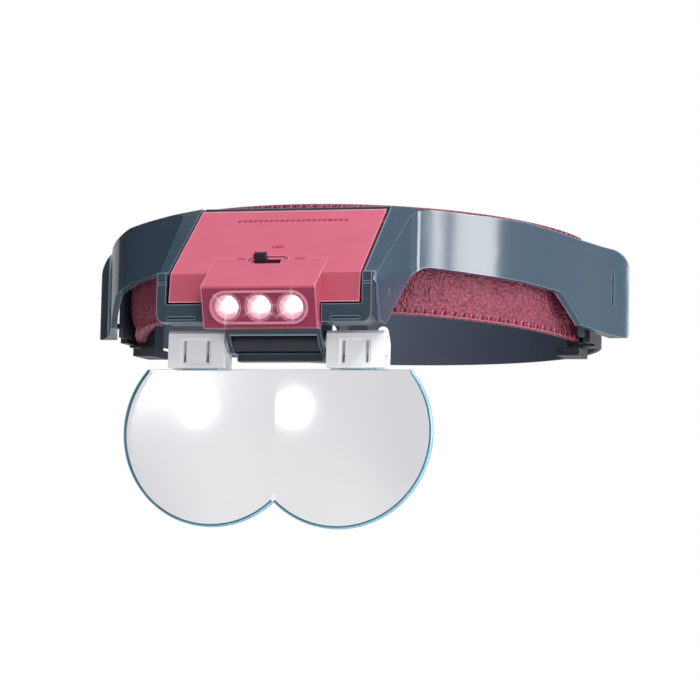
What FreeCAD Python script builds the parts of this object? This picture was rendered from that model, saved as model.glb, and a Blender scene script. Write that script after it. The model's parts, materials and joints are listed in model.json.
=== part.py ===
import FreeCAD, Part

import math
import os
import re

import Sketcher
from FreeCAD import Placement, Rotation, Vector

# A head visor magnifier: a sprung headband with a lamp and battery housing over the forehead,
# two side arms, an adjustable rear strap, and a twin lens that flips up on a hinge bar.
#
# Millimetres. The origin is the middle of the head opening, +Z is up, the wearer looks along -Y
# and +X is the wearer's left side. Every driving size is a cell of the sheet below.

SIZES = {
    # battery cover: a sloping top face, a crease and a short front face
    "cover_half": 30.3,
    "slope_top_y": -90.0,
    "slope_top_z": 17.5,
    "crease_y": -119.2,
    "crease_z": -5.6,
    "lip_y": -120.4,
    "lip_z": -14.8,
    "cover_wall": 1.8,
    "cover_drop": 2.3,
    "ear_wide": 2.6,
    "pin_radius": 1.0,
    "pin_y": -91.8,
    "pin_z": 12.6,
    "pin_reach": 33.6,
    # lamp pod on the cover
    "pod_half": 18.1,
    "pod_start_y": -112.6,
    "pod_start_z": -0.3,
    "pod_top_y": -126.3,
    "pod_top_z": -10.5,
    "pod_low_y": -122.2,
    "pod_low_z": -23.0,
    "pod_back_y": -118.9,
    "pod_wall": 1.6,
    "lamp_pitch": 10.2,
    "lamp_hole": 4.35,
    "lamp_radius": 2.5,
    "bezel_half": 10.4,
    "bezel_radius": 5.2,
    "board_long": 30.0,
    "board_tall": 8.6,
    "board_thick": 1.2,
    "board_depth": 6.4,
    # slide switch on the slope
    "switch_along": 30.0,
    "switch_x": -0.9,
    "switch_slot": 8.2,
    "switch_slot_tall": 2.6,
    "knob_wide": 3.7,
    "knob_tall": 2.3,
    "knob_stand": 2.3,
    "dish_long": 13.0,
    "dish_tall": 4.8,
    "dish_deep": 0.5,
    # tray behind the cover
    "tray_half": 34.2,
    "tray_inner": 31.2,
    "tray_front": -120.6,
    "tray_back": -84.6,
    "tray_low": -21.0,
    "floor_thick": 1.6,
    "wall_thick": 1.8,
    "rail_top": -15.4,
    "post_top": -5.6,
    "post_deep": 4.2,
    "wall_top": -6.4,
    "keel_y": -109.5,
    "keel_top_y": -91.9,
    "back_top": 18.9,
    # AAA cells and their contacts
    "cell_radius": 5.25,
    "cell_length": 44.5,
    "upper_cell_y": -93.6,
    "upper_cell_z": 1.5,
    "lower_cell_y": -107.2,
    "lower_cell_z": -9.6,
    "contact_gap": 3.6,
    # lens hinge
    "hinge_y": -103.0,
    "hinge_z": -25.0,
    "axle_radius": 1.5,
    "axle_half": 33.4,
    "barrel_radius": 3.4,
    "barrel_half": 14.0,
    "flange_thick": 1.5,
    "run_gap": 0.05,
    "clip_inner": 16.5,
    "clip_wide": 18.3,
    "clip_front": -106.8,
    "clip_back": -98.8,
    "clip_low": -33.8,
    "lens_tilt": 2.0,
    # twin lens
    "lens_back": -101.6,
    "lens_thick": 3.0,
    "lens_radius": 29.6,
    "lens_centre_x": 20.3,
    "lens_centre_z": -53.5,
    "lens_top": -34.0,
    "tongue_top": -29.9,
    "tongue_wide": 11.0,
    # headband
    "sleeve_rx": 80.0,
    "sleeve_ry": 84.0,
    "sleeve_thick": 7.0,
    "leather_thick": 0.9,
    "band_thick": 1.2,
    "band_reach": 86.0,
    "sleeve_reach": 80.0,
    "sleeve_top": 21.4,
    "sleeve_top_end": 17.4,
    "sleeve_low": -13.2,
    "sleeve_low_end": -19.5,
    # side arms
    "arm_top": 19.0,
    "arm_top_end": 12.7,
    "arm_end_y": -12.0,
    "block_low": -14.0,
    "block_low_end": -16.4,
    "slit_tall": 11.2,
    # rear strap
    "strap_rx": 81.5,
    "strap_ry": 94.5,
    "strap_thick": 1.6,
    "strap_low": -16.8,
    "strap_high": 9.2,
    "strap_front_y": -28.0,
    "buckle_y": -8.6,
    "buckle_long": 9.0,
    "buckle_low": -21.0,
    "buckle_high": 12.4,
}

DOC = FreeCAD.newDocument("HeadVisorMagnifier")
SHEET = DOC.addObject("Spreadsheet::Sheet", "Sizes")
for row, (alias, value) in enumerate(SIZES.items(), start=1):
    SHEET.set(f"A{row}", alias)
    SHEET.set(f"B{row}", str(value))
    SHEET.setAlias(f"B{row}", alias)
DOC.recompute()

PARTS = {}
BIG = 200.0  # longer than the whole object: cutting blocks that pass right through
CORNER_SIGNS = (("-", "-"), ("+", "-"), ("+", ""), ("-", ""))  # round a rectangle about its middle


def linked(formula):
    """A formula on the sheet's names, written the way other objects refer to them."""
    return re.sub(r"[a-z]+(_[a-z]+)*", lambda m: f"Sizes.{m[0]}" if m[0] in SIZES else m[0], formula)


def size(formula):
    """The present value of a formula on the sheet's names."""
    return float(SHEET.evalExpression(linked(formula)))


# ---------------------------------------------------------------- building blocks


def new_body(label):
    """An empty PartDesign body that becomes one node."""
    body = DOC.addObject("PartDesign::Body", label)
    PARTS[label] = body
    return body


def new_shape(label, shape, placement=None):
    """A node whose shape is made with Part's own functions."""
    node = DOC.addObject("Part::Feature", label)
    node.Shape = shape
    node.Placement = placement or Placement()
    PARTS[label] = node
    return node


def new_sketch(body, plane, offset="0", seat=None):
    """A sketch on one of the body's own origin planes, shifted along its normal or seated by a placement."""
    support = [f for f in body.Origin.OriginFeatures if f.Role == plane][0]
    sketch = body.newObject("Sketcher::SketchObject", f"{body.Name}_sketch")
    sketch.AttachmentSupport = [(support, "")]
    sketch.MapMode = "FlatFace"
    if seat is None:
        sketch.setExpression("AttachmentOffset.Base.z", linked(offset))
    else:
        sketch.AttachmentOffset = seat
    return sketch


def fix_point(sketch, line, end, across, up):
    """Ties one end of a line to formulas for its two coordinates."""
    for kind, formula in (("DistanceX", across), ("DistanceY", up)):
        index = sketch.addConstraint(Sketcher.Constraint(kind, -1, 1, line, end, size(formula)))
        sketch.setExpression(f"Constraints[{index}]", linked(formula))


def outline(body, plane, corners, offset="0", seat=None):
    """A closed outline of straight sides through corners given as pairs of formulas."""
    sketch = new_sketch(body, plane, offset, seat)
    points = [Vector(size(across), size(up), 0) for across, up in corners]
    count = len(points)
    sketch.addGeometry([Part.LineSegment(points[i], points[(i + 1) % count]) for i in range(count)], False)
    for i in range(count):
        sketch.addConstraint(Sketcher.Constraint("Coincident", i, 2, (i + 1) % count, 1))
    for i, (across, up) in enumerate(corners):
        fix_point(sketch, i, 1, across, up)
    return sketch


def rectangle(body, plane, low, high, offset="0", seat=None):
    """A rectangle between two corners given as pairs of formulas."""
    corners = [low, (high[0], low[1]), high, (low[0], high[1])]
    return outline(body, plane, corners, offset, seat)


def circles(body, plane, centres, radius, offset="0", seat=None):
    """Circles of one radius about centres given as pairs of formulas."""
    sketch = new_sketch(body, plane, offset, seat)
    for i, (across, up) in enumerate(centres):
        centre = Vector(size(across), size(up), 0)
        sketch.addGeometry(Part.Circle(centre, Vector(0, 0, 1), size(radius)), False)
        index = sketch.addConstraint(Sketcher.Constraint("Radius", i, size(radius)))
        sketch.setExpression(f"Constraints[{index}]", linked(radius))
        fix_point(sketch, i, 3, across, up)
    return sketch


def pad(body, sketch, length, side="Symmetric"):
    """Adds material along the sketch's normal."""
    feature = body.newObject("PartDesign::Pad", f"{body.Name}_pad")
    feature.Profile = sketch
    feature.SideType = side
    feature.setExpression("Length", linked(length))
    DOC.recompute()
    return feature


def pocket(body, sketch, length, side="Symmetric"):
    """Takes material away along the sketch's normal, and stops if nothing was there."""
    before = body.Shape.Volume
    feature = body.newObject("PartDesign::Pocket", f"{body.Name}_pocket")
    feature.Profile = sketch
    feature.SideType = side
    feature.setExpression("Length", linked(length))
    DOC.recompute()
    if body.Shape.Volume > before - 0.01:
        raise RuntimeError(f"{feature.Name} cuts nothing")
    return feature


def edge_names(shape, wanted):
    """The names of the edges whose middle point and direction satisfy a test."""
    names = []
    for index, edge in enumerate(shape.Edges, start=1):
        first, last = edge.Vertexes[0].Point, edge.Vertexes[-1].Point
        run = last - first
        if run.Length > 0 and wanted(edge.CenterOfMass, run.normalize()):
            names.append(f"Edge{index}")
    return names


def fillet(body, radius, wanted):
    """Rounds the body's edges that satisfy a test."""
    base = body.Tip
    feature = body.newObject("PartDesign::Fillet", f"{body.Name}_fillet")
    feature.Base = (base, edge_names(base.Shape, wanted))
    feature.setExpression("Radius", linked(radius))
    DOC.recompute()
    return feature


def rounded_outline(corners):
    """A closed wire in the YZ plane through (y, z, radius) corners, with each corner rounded."""
    joins = []
    for i, (y, z, radius) in enumerate(corners):
        here = Vector(0, y, z)
        back = Vector(0, *corners[i - 1][:2]) - here
        ahead = Vector(0, *corners[(i + 1) % len(corners)][:2]) - here
        back.normalize()
        ahead.normalize()
        half = back.getAngle(ahead) / 2
        reach = radius / math.tan(half)
        middle = here + (back + ahead).normalize() * (radius / math.sin(half) - radius)
        joins.append((here + back * reach, middle, here + ahead * reach, radius))
    edges = []
    for i, (start, middle, end, radius) in enumerate(joins):
        if radius > 0:
            edges.append(Part.Arc(start, middle, end).toShape())
        following = joins[(i + 1) % len(joins)][0]
        if (following - end).Length > 1e-6:
            edges.append(Part.LineSegment(end, following).toShape())
    return Part.Wire(edges)


def side_prism(corners, low_x, high_x):
    """A solid with a rounded outline in the YZ plane, between two X positions."""
    solid = Part.Face(rounded_outline(corners)).extrude(Vector(high_x - low_x, 0, 0))
    solid.translate(Vector(low_x, 0, 0))
    return solid


def ellipse_arc(rx, ry, start, end, forward):
    """A stretch of an ellipse seen from above, in degrees either side of straight ahead or straight back."""
    tip = Vector(0, -ry if forward else ry, 0)
    ellipse = Part.Ellipse(tip, Vector(rx, 0, 0), Vector(0, 0, 0))
    return Part.ArcOfEllipse(ellipse, math.radians(start), math.radians(end)).toShape()


def curved_strip(rx, ry, thick, reach, low, high):
    """A strip bent round the front of the head, reaching an angle either side."""
    outer = ellipse_arc(rx, ry, -reach, reach, True)
    inner = ellipse_arc(rx - thick, ry - thick, -reach, reach, True)
    ends = [
        Part.LineSegment(outer.Vertexes[i].Point, inner.Vertexes[i].Point).toShape() for i in (0, 1)
    ]
    face = Part.Face(Part.Wire(Part.__sortEdges__([outer, inner] + ends)))
    strip = face.extrude(Vector(0, 0, high - low))
    strip.translate(Vector(0, 0, low))
    return strip


def rod(radius, length, start, direction):
    """A plain cylinder from a start point along a direction."""
    return Part.makeCylinder(radius, length, start, direction)


def both_sides(shape):
    """A shape and its mirror image across the middle plane."""
    return [shape, shape.mirror(Vector(0, 0, 0), Vector(1, 0, 0))]


# ---------------------------------------------------------------- seats on the sloping faces

SLOPE_ANGLE = math.degrees(
    math.atan2(size("slope_top_z - crease_z"), size("slope_top_y - crease_y"))
)
FACE_ANGLE = math.degrees(math.atan2(size("pod_low_y - pod_top_y"), size("pod_top_z - pod_low_z")))


def slope_seat():
    """The switch's place: X to the side, Y up the slope, Z out of the cover."""
    along = size("switch_along")
    angle = math.radians(SLOPE_ANGLE)
    y = size("slope_top_y") - along * math.cos(angle)
    z = size("slope_top_z") - along * math.sin(angle)
    return Placement(Vector(0, y, z), Rotation(Vector(1, 0, 0), SLOPE_ANGLE))


def lamp_seat():
    """The middle of the pod's front face: X to the side, Y up the face, Z out of it."""
    y = size("(pod_top_y + pod_low_y) / 2")
    z = size("(pod_top_z + pod_low_z) / 2")
    return Placement(Vector(0, y, z), Rotation(Vector(1, 0, 0), 90 + FACE_ANGLE))


def hinge_seat():
    """Turns the lens and its clips forwards about the hinge bar by their resting tilt."""
    axis = Vector(0, size("hinge_y"), size("hinge_z"))
    return Placement(Vector(), Rotation(Vector(1, 0, 0), -size("lens_tilt")), axis)


# ---------------------------------------------------------------- battery cover and lamp

SLOPE_RATE = "(slope_top_z - crease_z) / (slope_top_y - crease_y)"


def battery_cover():
    """The red cover: sloping top, short front face, a lamp pod, a switch slot and two hinge ears."""
    body = new_body("battery_cover")
    inner_crease_z = f"crease_z + cover_wall * {SLOPE_RATE} - cover_drop"
    skin = [
        ("slope_top_y", "slope_top_z"),
        ("crease_y", "crease_z"),
        ("lip_y", "lip_z"),
        ("lip_y + cover_wall", "lip_z"),
        ("crease_y + cover_wall", inner_crease_z),
        ("slope_top_y", "slope_top_z - cover_drop"),
    ]
    pad(body, outline(body, "YZ_Plane", skin), "2 * cover_half")
    ear = [
        ("slope_top_y", "slope_top_z - cover_wall"),
        ("slope_top_y - 5", f"slope_top_z - cover_wall - 5 * {SLOPE_RATE}"),
        ("slope_top_y - 4", "pin_z - 2.4"),
        ("slope_top_y", "pin_z - 2.4"),
    ]
    for sign in ("", "-"):
        middle = f"{sign}(cover_half - ear_wide / 2)"
        pad(body, outline(body, "YZ_Plane", ear, middle), "ear_wide")
    pod = [
        ("pod_start_y", "pod_start_z"),
        ("pod_top_y", "pod_top_z"),
        ("pod_low_y", "pod_low_z"),
        ("pod_back_y", "pod_low_z"),
        ("pod_back_y", "crease_z - 2"),
        ("pod_start_y", "pod_start_z - 1.5"),
    ]
    pad(body, outline(body, "YZ_Plane", pod), "2 * pod_half")
    fillet(body, "1.2", lambda middle, run: abs(run.x) > 0.9 and middle.y < size("crease_y - 6"))
    fillet(
        body,
        "1.0",
        lambda middle, run: abs(run.x) > 0.9
        and abs(middle.y - size("crease_y")) < 0.1
        and abs(middle.z - size("crease_z")) < 0.1,
    )
    room = [
        ("pod_back_y + pod_wall", "crease_z - 2.5"),
        ("pod_top_y + pod_wall + 1.5", "pod_top_z - pod_wall"),
        ("pod_low_y + pod_wall", "pod_low_z + pod_wall"),
        ("pod_back_y + 3", "pod_low_z + pod_wall"),
        ("pod_back_y + 3", "crease_z - 2.5"),
    ]
    pocket(body, outline(body, "YZ_Plane", room), "2 * (pod_half - pod_wall)")
    lamp = xz_seat(lamp_seat())
    lamp_centres = [(f"{i} * lamp_pitch", "0") for i in (-1, 0, 1)]
    pocket(body, circles(body, "XZ_Plane", lamp_centres, "lamp_hole", seat=lamp), "6")
    switch = xz_seat(slope_seat())
    dish_end = "(dish_long - dish_tall) / 2"
    dish_centres = [(f"switch_x {way} {dish_end}", "0") for way in ("-", "+")]
    pocket(body, circles(body, "XZ_Plane", dish_centres, "dish_tall / 2", seat=switch), "2 * dish_deep")
    dish = [(f"switch_x {x} {dish_end}", f"{y} dish_tall / 2") for x, y in CORNER_SIGNS]
    pocket(body, outline(body, "XZ_Plane", dish, seat=switch), "2 * dish_deep")
    slot = [(f"switch_x {x} switch_slot / 2", f"{y} switch_slot_tall / 2") for x, y in CORNER_SIGNS]
    pocket(body, outline(body, "XZ_Plane", slot, seat=switch), "12")
    pin_holes = circles(body, "YZ_Plane", [("pin_y", "pin_z")], "pin_radius + 0.02")
    pocket(body, pin_holes, "2 * cover_half + 2")
    return body


def xz_seat(placement):
    """The same placement, told from a sketch on the XZ plane, whose own frame is turned by a right angle."""
    plane = Placement(Vector(), Rotation(Vector(1, 0, 0), 90))
    return plane.inverse() * placement


def cover_hinge_pins():
    """Two short pins that carry the cover between the side arms."""
    start = size("cover_half - ear_wide")
    length = size("pin_reach") - start
    pin = rod(size("pin_radius"), length, Vector(start, size("pin_y"), size("pin_z")), Vector(1, 0, 0))
    new_shape("cover_hinge_pins", Part.makeCompound(both_sides(pin)))


def obround(half, radius, thick, start):
    """A flat bar with round ends, lying across the lamp face."""
    middle = Part.makeBox(2 * half, 2 * radius, thick, Vector(-half, -radius, start))
    ends = [rod(radius, thick, Vector(x, 0, start), Vector(0, 0, 1)) for x in (-half, half)]
    return middle.multiFuse(ends).removeSplitter()


def led_bezel():
    """The raised trim line round the three lamps."""
    half, radius = size("bezel_half"), size("bezel_radius")
    ring = obround(half, radius, 0.5, 0.02).cut(obround(half, radius - 0.7, 2, -0.5))
    new_shape("led_bezel", ring, lamp_seat())


def lamp_row(shape):
    """Three copies of a lamp part across the pod."""
    pitch = size("lamp_pitch")
    return Part.makeCompound([shape.translated(Vector(i * pitch, 0, 0)) for i in (-1, 0, 1)])


def led_reflectors():
    """Three bright cups round the lamps."""
    mouth = size("lamp_hole") - 0.1
    throat = size("lamp_radius") + 0.15
    deep = -4.4
    section = Part.makePolygon(
        [
            Vector(mouth, 0, -0.1),
            Vector(mouth, 0, -1.2),
            Vector(throat + 0.8, 0, deep),
            Vector(throat, 0, deep),
            Vector(throat, 0, deep + 0.6),
            Vector(mouth - 0.9, 0, -1.2),
            Vector(mouth - 0.5, 0, -0.1),
            Vector(mouth, 0, -0.1),
        ]
    )
    cup = Part.Face(section).revolve(Vector(), Vector(0, 0, 1), 360)
    new_shape("led_reflectors", lamp_row(cup), lamp_seat())


def leds():
    """Three round lamps with a rim at the base and two legs through the board."""
    radius = size("lamp_radius")
    base = -size("board_depth") + 0.05
    tip = -0.6
    stem = rod(radius, tip - radius - base, Vector(0, 0, base), Vector(0, 0, 1))
    dome = Part.makeSphere(radius, Vector(0, 0, tip - radius))
    rim = rod(radius + 0.45, 1.0, Vector(0, 0, base), Vector(0, 0, 1))
    new_shape("leds", lamp_row(stem.multiFuse([dome, rim]).removeSplitter()), lamp_seat())


def led_board():
    """The circuit board behind the lamps."""
    length, tall, thick = size("board_long"), size("board_tall"), size("board_thick")
    corner = Vector(-length / 2, -tall / 2, -size("board_depth") - thick)
    new_shape("led_board", Part.makeBox(length, tall, thick, corner), lamp_seat())


def led_wires():
    """Two wires from the board up to the switch."""
    top = slope_seat().multVec(Vector(0, -3.5, -3.6))
    foot = lamp_seat().multVec(Vector(0, 2.6, -size("board_depth") - size("board_thick") - 0.6))
    wires = []
    for x in (-4.0, 4.0):
        points = [Vector(x, p.y, p.z) for p in (foot, (foot + top) / 2 + Vector(0, -0.8, 0.2), top)]
        curve = Part.BSplineCurve()
        curve.interpolate(points)
        path = Part.Wire(curve.toShape())
        ring = Part.Wire(Part.makeCircle(0.45, points[0], curve.tangent(0)[0]))
        wires.append(path.makePipeShell([ring], True, True))
    new_shape("led_wires", Part.makeCompound(wires))


def switch_body():
    """The switch's case, hung under the cover's slope."""
    wide, tall, top, deep = 12.6, 5.6, -2.05, 2.9
    case = Part.makeBox(wide, tall, deep, Vector(size("switch_x") - wide / 2, -tall / 2, top - deep))
    slot_wide = size("switch_slot") + 0.4
    slot_tall = size("knob_tall") + 0.2
    corner = Vector(size("switch_x") - slot_wide / 2, -slot_tall / 2, top - 1)
    room = Part.makeBox(slot_wide, slot_tall, 1.2, corner)
    new_shape("switch_body", case.cut(room), slope_seat())


def switch_knob():
    """The ribbed slider, at the near end of its slot."""
    wide, tall, stand = size("knob_wide"), size("knob_tall"), size("knob_stand")
    left = size("switch_x - switch_slot / 2") + 0.1
    knob = Part.makeBox(wide, tall, stand + 2.8, Vector(left, -tall / 2, -2.8))
    groove_count = 3
    pitch = wide / (groove_count + 1)
    for i in range(groove_count):
        x = left + (i + 1) * pitch - 0.2
        knob = knob.cut(Part.makeBox(0.4, tall + 1, 0.6, Vector(x, -tall / 2 - 0.5, stand - 0.5)))
    new_shape("switch_knob", knob, slope_seat())


# ---------------------------------------------------------------- tray, batteries and contacts


KEEL_RATE = "(wall_top - tray_low) / (keel_top_y - keel_y)"
KEEL_SHIFT = "floor_thick * 1.3"  # height of the sloping floor, measured straight up


def front_housing():
    """The tray behind the cover: a floor that slopes up, side walls, front posts, a rail and a back wall."""
    body = new_body("front_housing")
    outside = [
        ("tray_front", "tray_low"),
        ("keel_y", "tray_low"),
        ("keel_top_y", "wall_top"),
        ("tray_front + post_deep", "wall_top"),
        ("tray_front + post_deep", "post_top"),
        ("tray_front", "post_top"),
    ]
    pad(body, outline(body, "YZ_Plane", outside), "2 * tray_half")
    inside = [
        ("tray_front - 1", "rail_top"),
        ("tray_front + wall_thick", "rail_top"),
        ("tray_front + wall_thick", "tray_low + floor_thick"),
        ("keel_y", "tray_low + floor_thick"),
        ("keel_y", f"tray_low + {KEEL_SHIFT}"),
        ("keel_top_y", f"wall_top + {KEEL_SHIFT}"),
        ("keel_top_y", "post_top + 4"),
        ("tray_front - 1", "post_top + 4"),
    ]
    pocket(body, outline(body, "YZ_Plane", inside), "2 * tray_inner")
    wall_front = "tray_back - wall_thick"
    back = [
        ("keel_y + 10", f"tray_low + 10 * {KEEL_RATE}"),
        ("tray_back", f"tray_low + (tray_back - keel_y) * {KEEL_RATE}"),
        ("tray_back", "back_top"),
        (wall_front, "back_top"),
        (wall_front, f"tray_low + ({wall_front} - keel_y) * {KEEL_RATE} + {KEEL_SHIFT}"),
        ("keel_y + 10", f"tray_low + 10 * {KEEL_RATE} + {KEEL_SHIFT}"),
    ]
    pad(body, outline(body, "YZ_Plane", back), "2 * (tray_inner - 0.3)")
    pod_low, pod_high = ("tray_front - 1", "tray_low - 1"), ("tray_front + 6.2", "rail_top + 1")
    pod_room = rectangle(body, "YZ_Plane", pod_low, pod_high)
    pocket(body, pod_room, "2 * (pod_half + 0.5)")
    for sign in ("", "-"):
        groove = rectangle(
            body, "YZ_Plane", ("tray_front - 1", "post_top - 3.6"), ("tray_front + 0.5", "post_top - 3.1"),
            f"{sign}(tray_half + tray_inner) / 2",
        )
        pocket(body, groove, "tray_half - tray_inner + 1")
        slot = rectangle(
            body, "YZ_Plane", ("tray_front - 1", "tray_low + 1.0"), ("tray_front + 1.0", "tray_low + 1.7"),
            f"{sign}(tray_half + pod_half) / 2",
        )
        pocket(body, slot, "9")
    screws = circles(body, "YZ_Plane", [(str(y), str(z)) for y, z in SCREW_PLACES], str(SCREW_RADIUS + 0.05))
    pocket(body, screws, "2 * tray_half + 1")
    rivet_places = [(f"{sign}{RIVET_X}", str(RIVET_Z)) for sign in ("", "-")]
    rivets = circles(body, "XZ_Plane", rivet_places, str(RIVET_RADIUS + 0.05))
    pocket(body, rivets, str(2 * BIG))
    fillet(
        body,
        "2.6",
        lambda middle, run: abs(run.y) > 0.9
        and abs(abs(middle.x) - size("tray_half")) < 0.1
        and middle.z < size("tray_low") + 0.1,
    )
    return body


SCREW_PLACES = ((-105.5, -10.0), (-100.2, -8.1))
SCREW_RADIUS = 1.1
RIVET_X = 18
RIVET_Z = 8
RIVET_RADIUS = 1.5


def arm_screws():
    """Four screws from inside the tray into the side arms."""
    screws = []
    for y, z in SCREW_PLACES:
        shank = rod(SCREW_RADIUS, 5.5, Vector(29.9, y, z), Vector(1, 0, 0))
        head = rod(1.7, 1.3, Vector(29.8, y, z), Vector(1, 0, 0))
        cross = Part.makeBox(0.6, 2.2, 0.5, Vector(29.7, y - 1.1, z - 0.25))
        cross_up = Part.makeBox(0.6, 0.5, 2.2, Vector(29.7, y - 0.25, z - 1.1))
        screws += both_sides(shank.fuse(head).cut(cross.fuse(cross_up)).removeSplitter())
    new_shape("arm_screws", Part.makeCompound(screws))


def cell(label, y, z, nose):
    """One AAA cell lying across the tray, with its nose towards +X or -X."""
    radius, length = size("cell_radius"), size("cell_length")
    nub = 1.0
    can = rod(radius, length - nub, Vector(-length / 2, 0, 0), Vector(1, 0, 0))
    tip = rod(1.9, nub + 0.5, Vector(length / 2 - nub - 0.5, 0, 0), Vector(1, 0, 0))
    turn = Rotation(Vector(0, 0, 1), 0 if nose > 0 else 180)
    new_shape(label, can.fuse(tip).removeSplitter(), Placement(Vector(0, y, z), turn))


def cells():
    """The pair of AAA cells, nose to tail."""
    cell("upper_battery", size("upper_cell_y"), size("upper_cell_z"), 1)
    cell("lower_battery", size("lower_cell_y"), size("lower_cell_z"), -1)


def battery_cradle():
    """The saddle that both cells lie in."""
    floor = size("tray_low + floor_thick") + 0.15
    upper = (size("upper_cell_y"), size("upper_cell_z"))
    lower = (size("lower_cell_y"), size("lower_cell_z"))
    keel = size("keel_y")
    rate = size(KEEL_RATE)
    rise = size(f"tray_low + {KEEL_SHIFT}") + 0.3
    top = upper[0] + 1.5
    corners = [
        (keel - 4.5, floor, 0),
        (keel - 0.6, floor, 0),
        (keel, rise, 0),
        (top, rise + (top - keel) * rate, 0),
        (top, upper[1], 0),
        (upper[0] - 4, upper[1] - 2, 1),
        (lower[0] + 5, lower[1] + 3, 1),
        (keel - 4.5, lower[1] - 3, 0),
    ]
    block = side_prism(corners, -20, 20)
    for y, z in (upper, lower):
        block = block.cut(rod(size("cell_radius") + 0.1, 50, Vector(-25, y, z), Vector(1, 0, 0)))
    largest = max(block.Solids, key=lambda solid: solid.Volume)
    new_shape("battery_cradle", largest)


def cell_ends():
    """For each cell: its centre and the sign of X at its nose."""
    return (
        (size("upper_cell_y"), size("upper_cell_z"), 1),
        (size("lower_cell_y"), size("lower_cell_z"), -1),
    )


def battery_contacts():
    """Four spring-steel plates: one at each end of each cell."""
    half = size("cell_length") / 2
    gap = size("contact_gap")
    plates = []
    for y, z, nose in cell_ends():
        for sign in (1, -1):
            inner = half + 0.05 if sign == nose else half + gap
            plate = Part.makeBox(0.4, 8, 8, Vector(0, y - 4, z - 4))
            plate.translate(Vector(inner if sign > 0 else -inner - 0.4, 0, 0))
            plates.append(plate)
    new_shape("battery_contacts", Part.makeCompound(plates))


def contact_springs():
    """The two coil springs that press on the cells' flat ends."""
    half = size("cell_length") / 2
    wire = 0.35
    length = size("contact_gap") - 2 * wire - 0.3
    springs = []
    for y, z, nose in cell_ends():
        path = Part.makeHelix(length / 3, length, 2.6)
        ring = Part.Wire(Part.makeCircle(wire, Vector(2.6, 0, 0), Vector(0, 1, 0)))
        coil = Part.Wire(path.Edges).makePipeShell([ring], True, True)
        start = half + wire + 0.15
        turn = Rotation(Vector(0, 1, 0), -90 if nose > 0 else 90)
        coil.Placement = Placement(Vector(-nose * start, y, z), turn)
        springs.append(coil)
    new_shape("contact_springs", Part.makeCompound(springs))


# ---------------------------------------------------------------- lens hinge, clips and lens


def hinge_bracket():
    """The bracket under the tray whose two cheeks carry the hinge bar."""
    body = new_body("hinge_bracket")
    under = "tray_low - run_gap"
    cheek = [
        ("keel_y - 2", under),
        ("keel_y", under),
        ("hinge_y + 6", f"tray_low - 2 * run_gap + (hinge_y + 6 - keel_y) * {KEEL_RATE}"),
        ("hinge_y + 6", "hinge_z - 4.6"),
        ("hinge_y - 1", "hinge_z - 3.9"),
        ("hinge_y - 4.0", "hinge_z - 1.5"),
    ]
    pad(body, outline(body, "YZ_Plane", cheek), "2 * (barrel_half + flange_thick)")
    room = rectangle(
        body, "YZ_Plane", ("hinge_y - 6", "hinge_z - 8"), ("hinge_y + 5", "hinge_z + barrel_radius - 0.6")
    )
    pocket(body, room, "2 * barrel_half + 0.1")
    above = rectangle(
        body,
        "YZ_Plane",
        ("hinge_y - barrel_radius - 0.05", "hinge_z - 8"),
        ("hinge_y + barrel_radius + 0.05", "hinge_z + barrel_radius + 0.05"),
    )
    pocket(body, above, "2 * barrel_half + 0.1")
    stop_bar = rectangle(body, "YZ_Plane", ("hinge_y + 2", "hinge_z - 6.4"), ("hinge_y + 6", "hinge_z - 3.8"))
    pad(body, stop_bar, "2 * barrel_half")
    bore = circles(body, "YZ_Plane", [("hinge_y", "hinge_z")], "axle_radius + run_gap")
    pocket(body, bore, "2 * (barrel_half + flange_thick) + 1")
    return body


def hinge_tube(label, half, radius):
    """A tube on the hinge bar, centred on the middle plane."""
    axis = Vector(-half, size("hinge_y"), size("hinge_z"))
    outer = rod(radius, 2 * half, axis, Vector(1, 0, 0))
    bore = rod(size("axle_radius + run_gap"), 2 * half, axis, Vector(1, 0, 0))
    new_shape(label, outer.cut(bore))


def hinge_barrel():
    """The dark sleeve between the bracket's cheeks."""
    hinge_tube("hinge_barrel", size("barrel_half"), size("barrel_radius"))


def hinge_axle():
    """The steel bar that the clips turn with."""
    axle = DOC.addObject("Part::Cylinder", "hinge_axle")
    axle.setExpression("Radius", linked("axle_radius"))
    axle.setExpression("Height", linked("2 * axle_half"))
    axle.setExpression("Placement.Base.x", linked("-axle_half"))
    axle.setExpression("Placement.Base.y", linked("hinge_y"))
    axle.setExpression("Placement.Base.z", linked("hinge_z"))
    axle.Placement.Rotation = Rotation(Vector(0, 1, 0), 90)
    PARTS["hinge_axle"] = axle


def friction_washers():
    """Spring washers that hold the lens at any angle."""
    inner = size("barrel_half + flange_thick") + 0.05
    outer = size("clip_inner") - 0.1
    at = Vector(inner, size("hinge_y"), size("hinge_z"))
    washer = rod(3.0, outer - inner, at, Vector(1, 0, 0))
    washer = washer.cut(rod(size("axle_radius + run_gap"), outer - inner, at, Vector(1, 0, 0)))
    new_shape("friction_washers", Part.makeCompound(both_sides(washer)))


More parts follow.
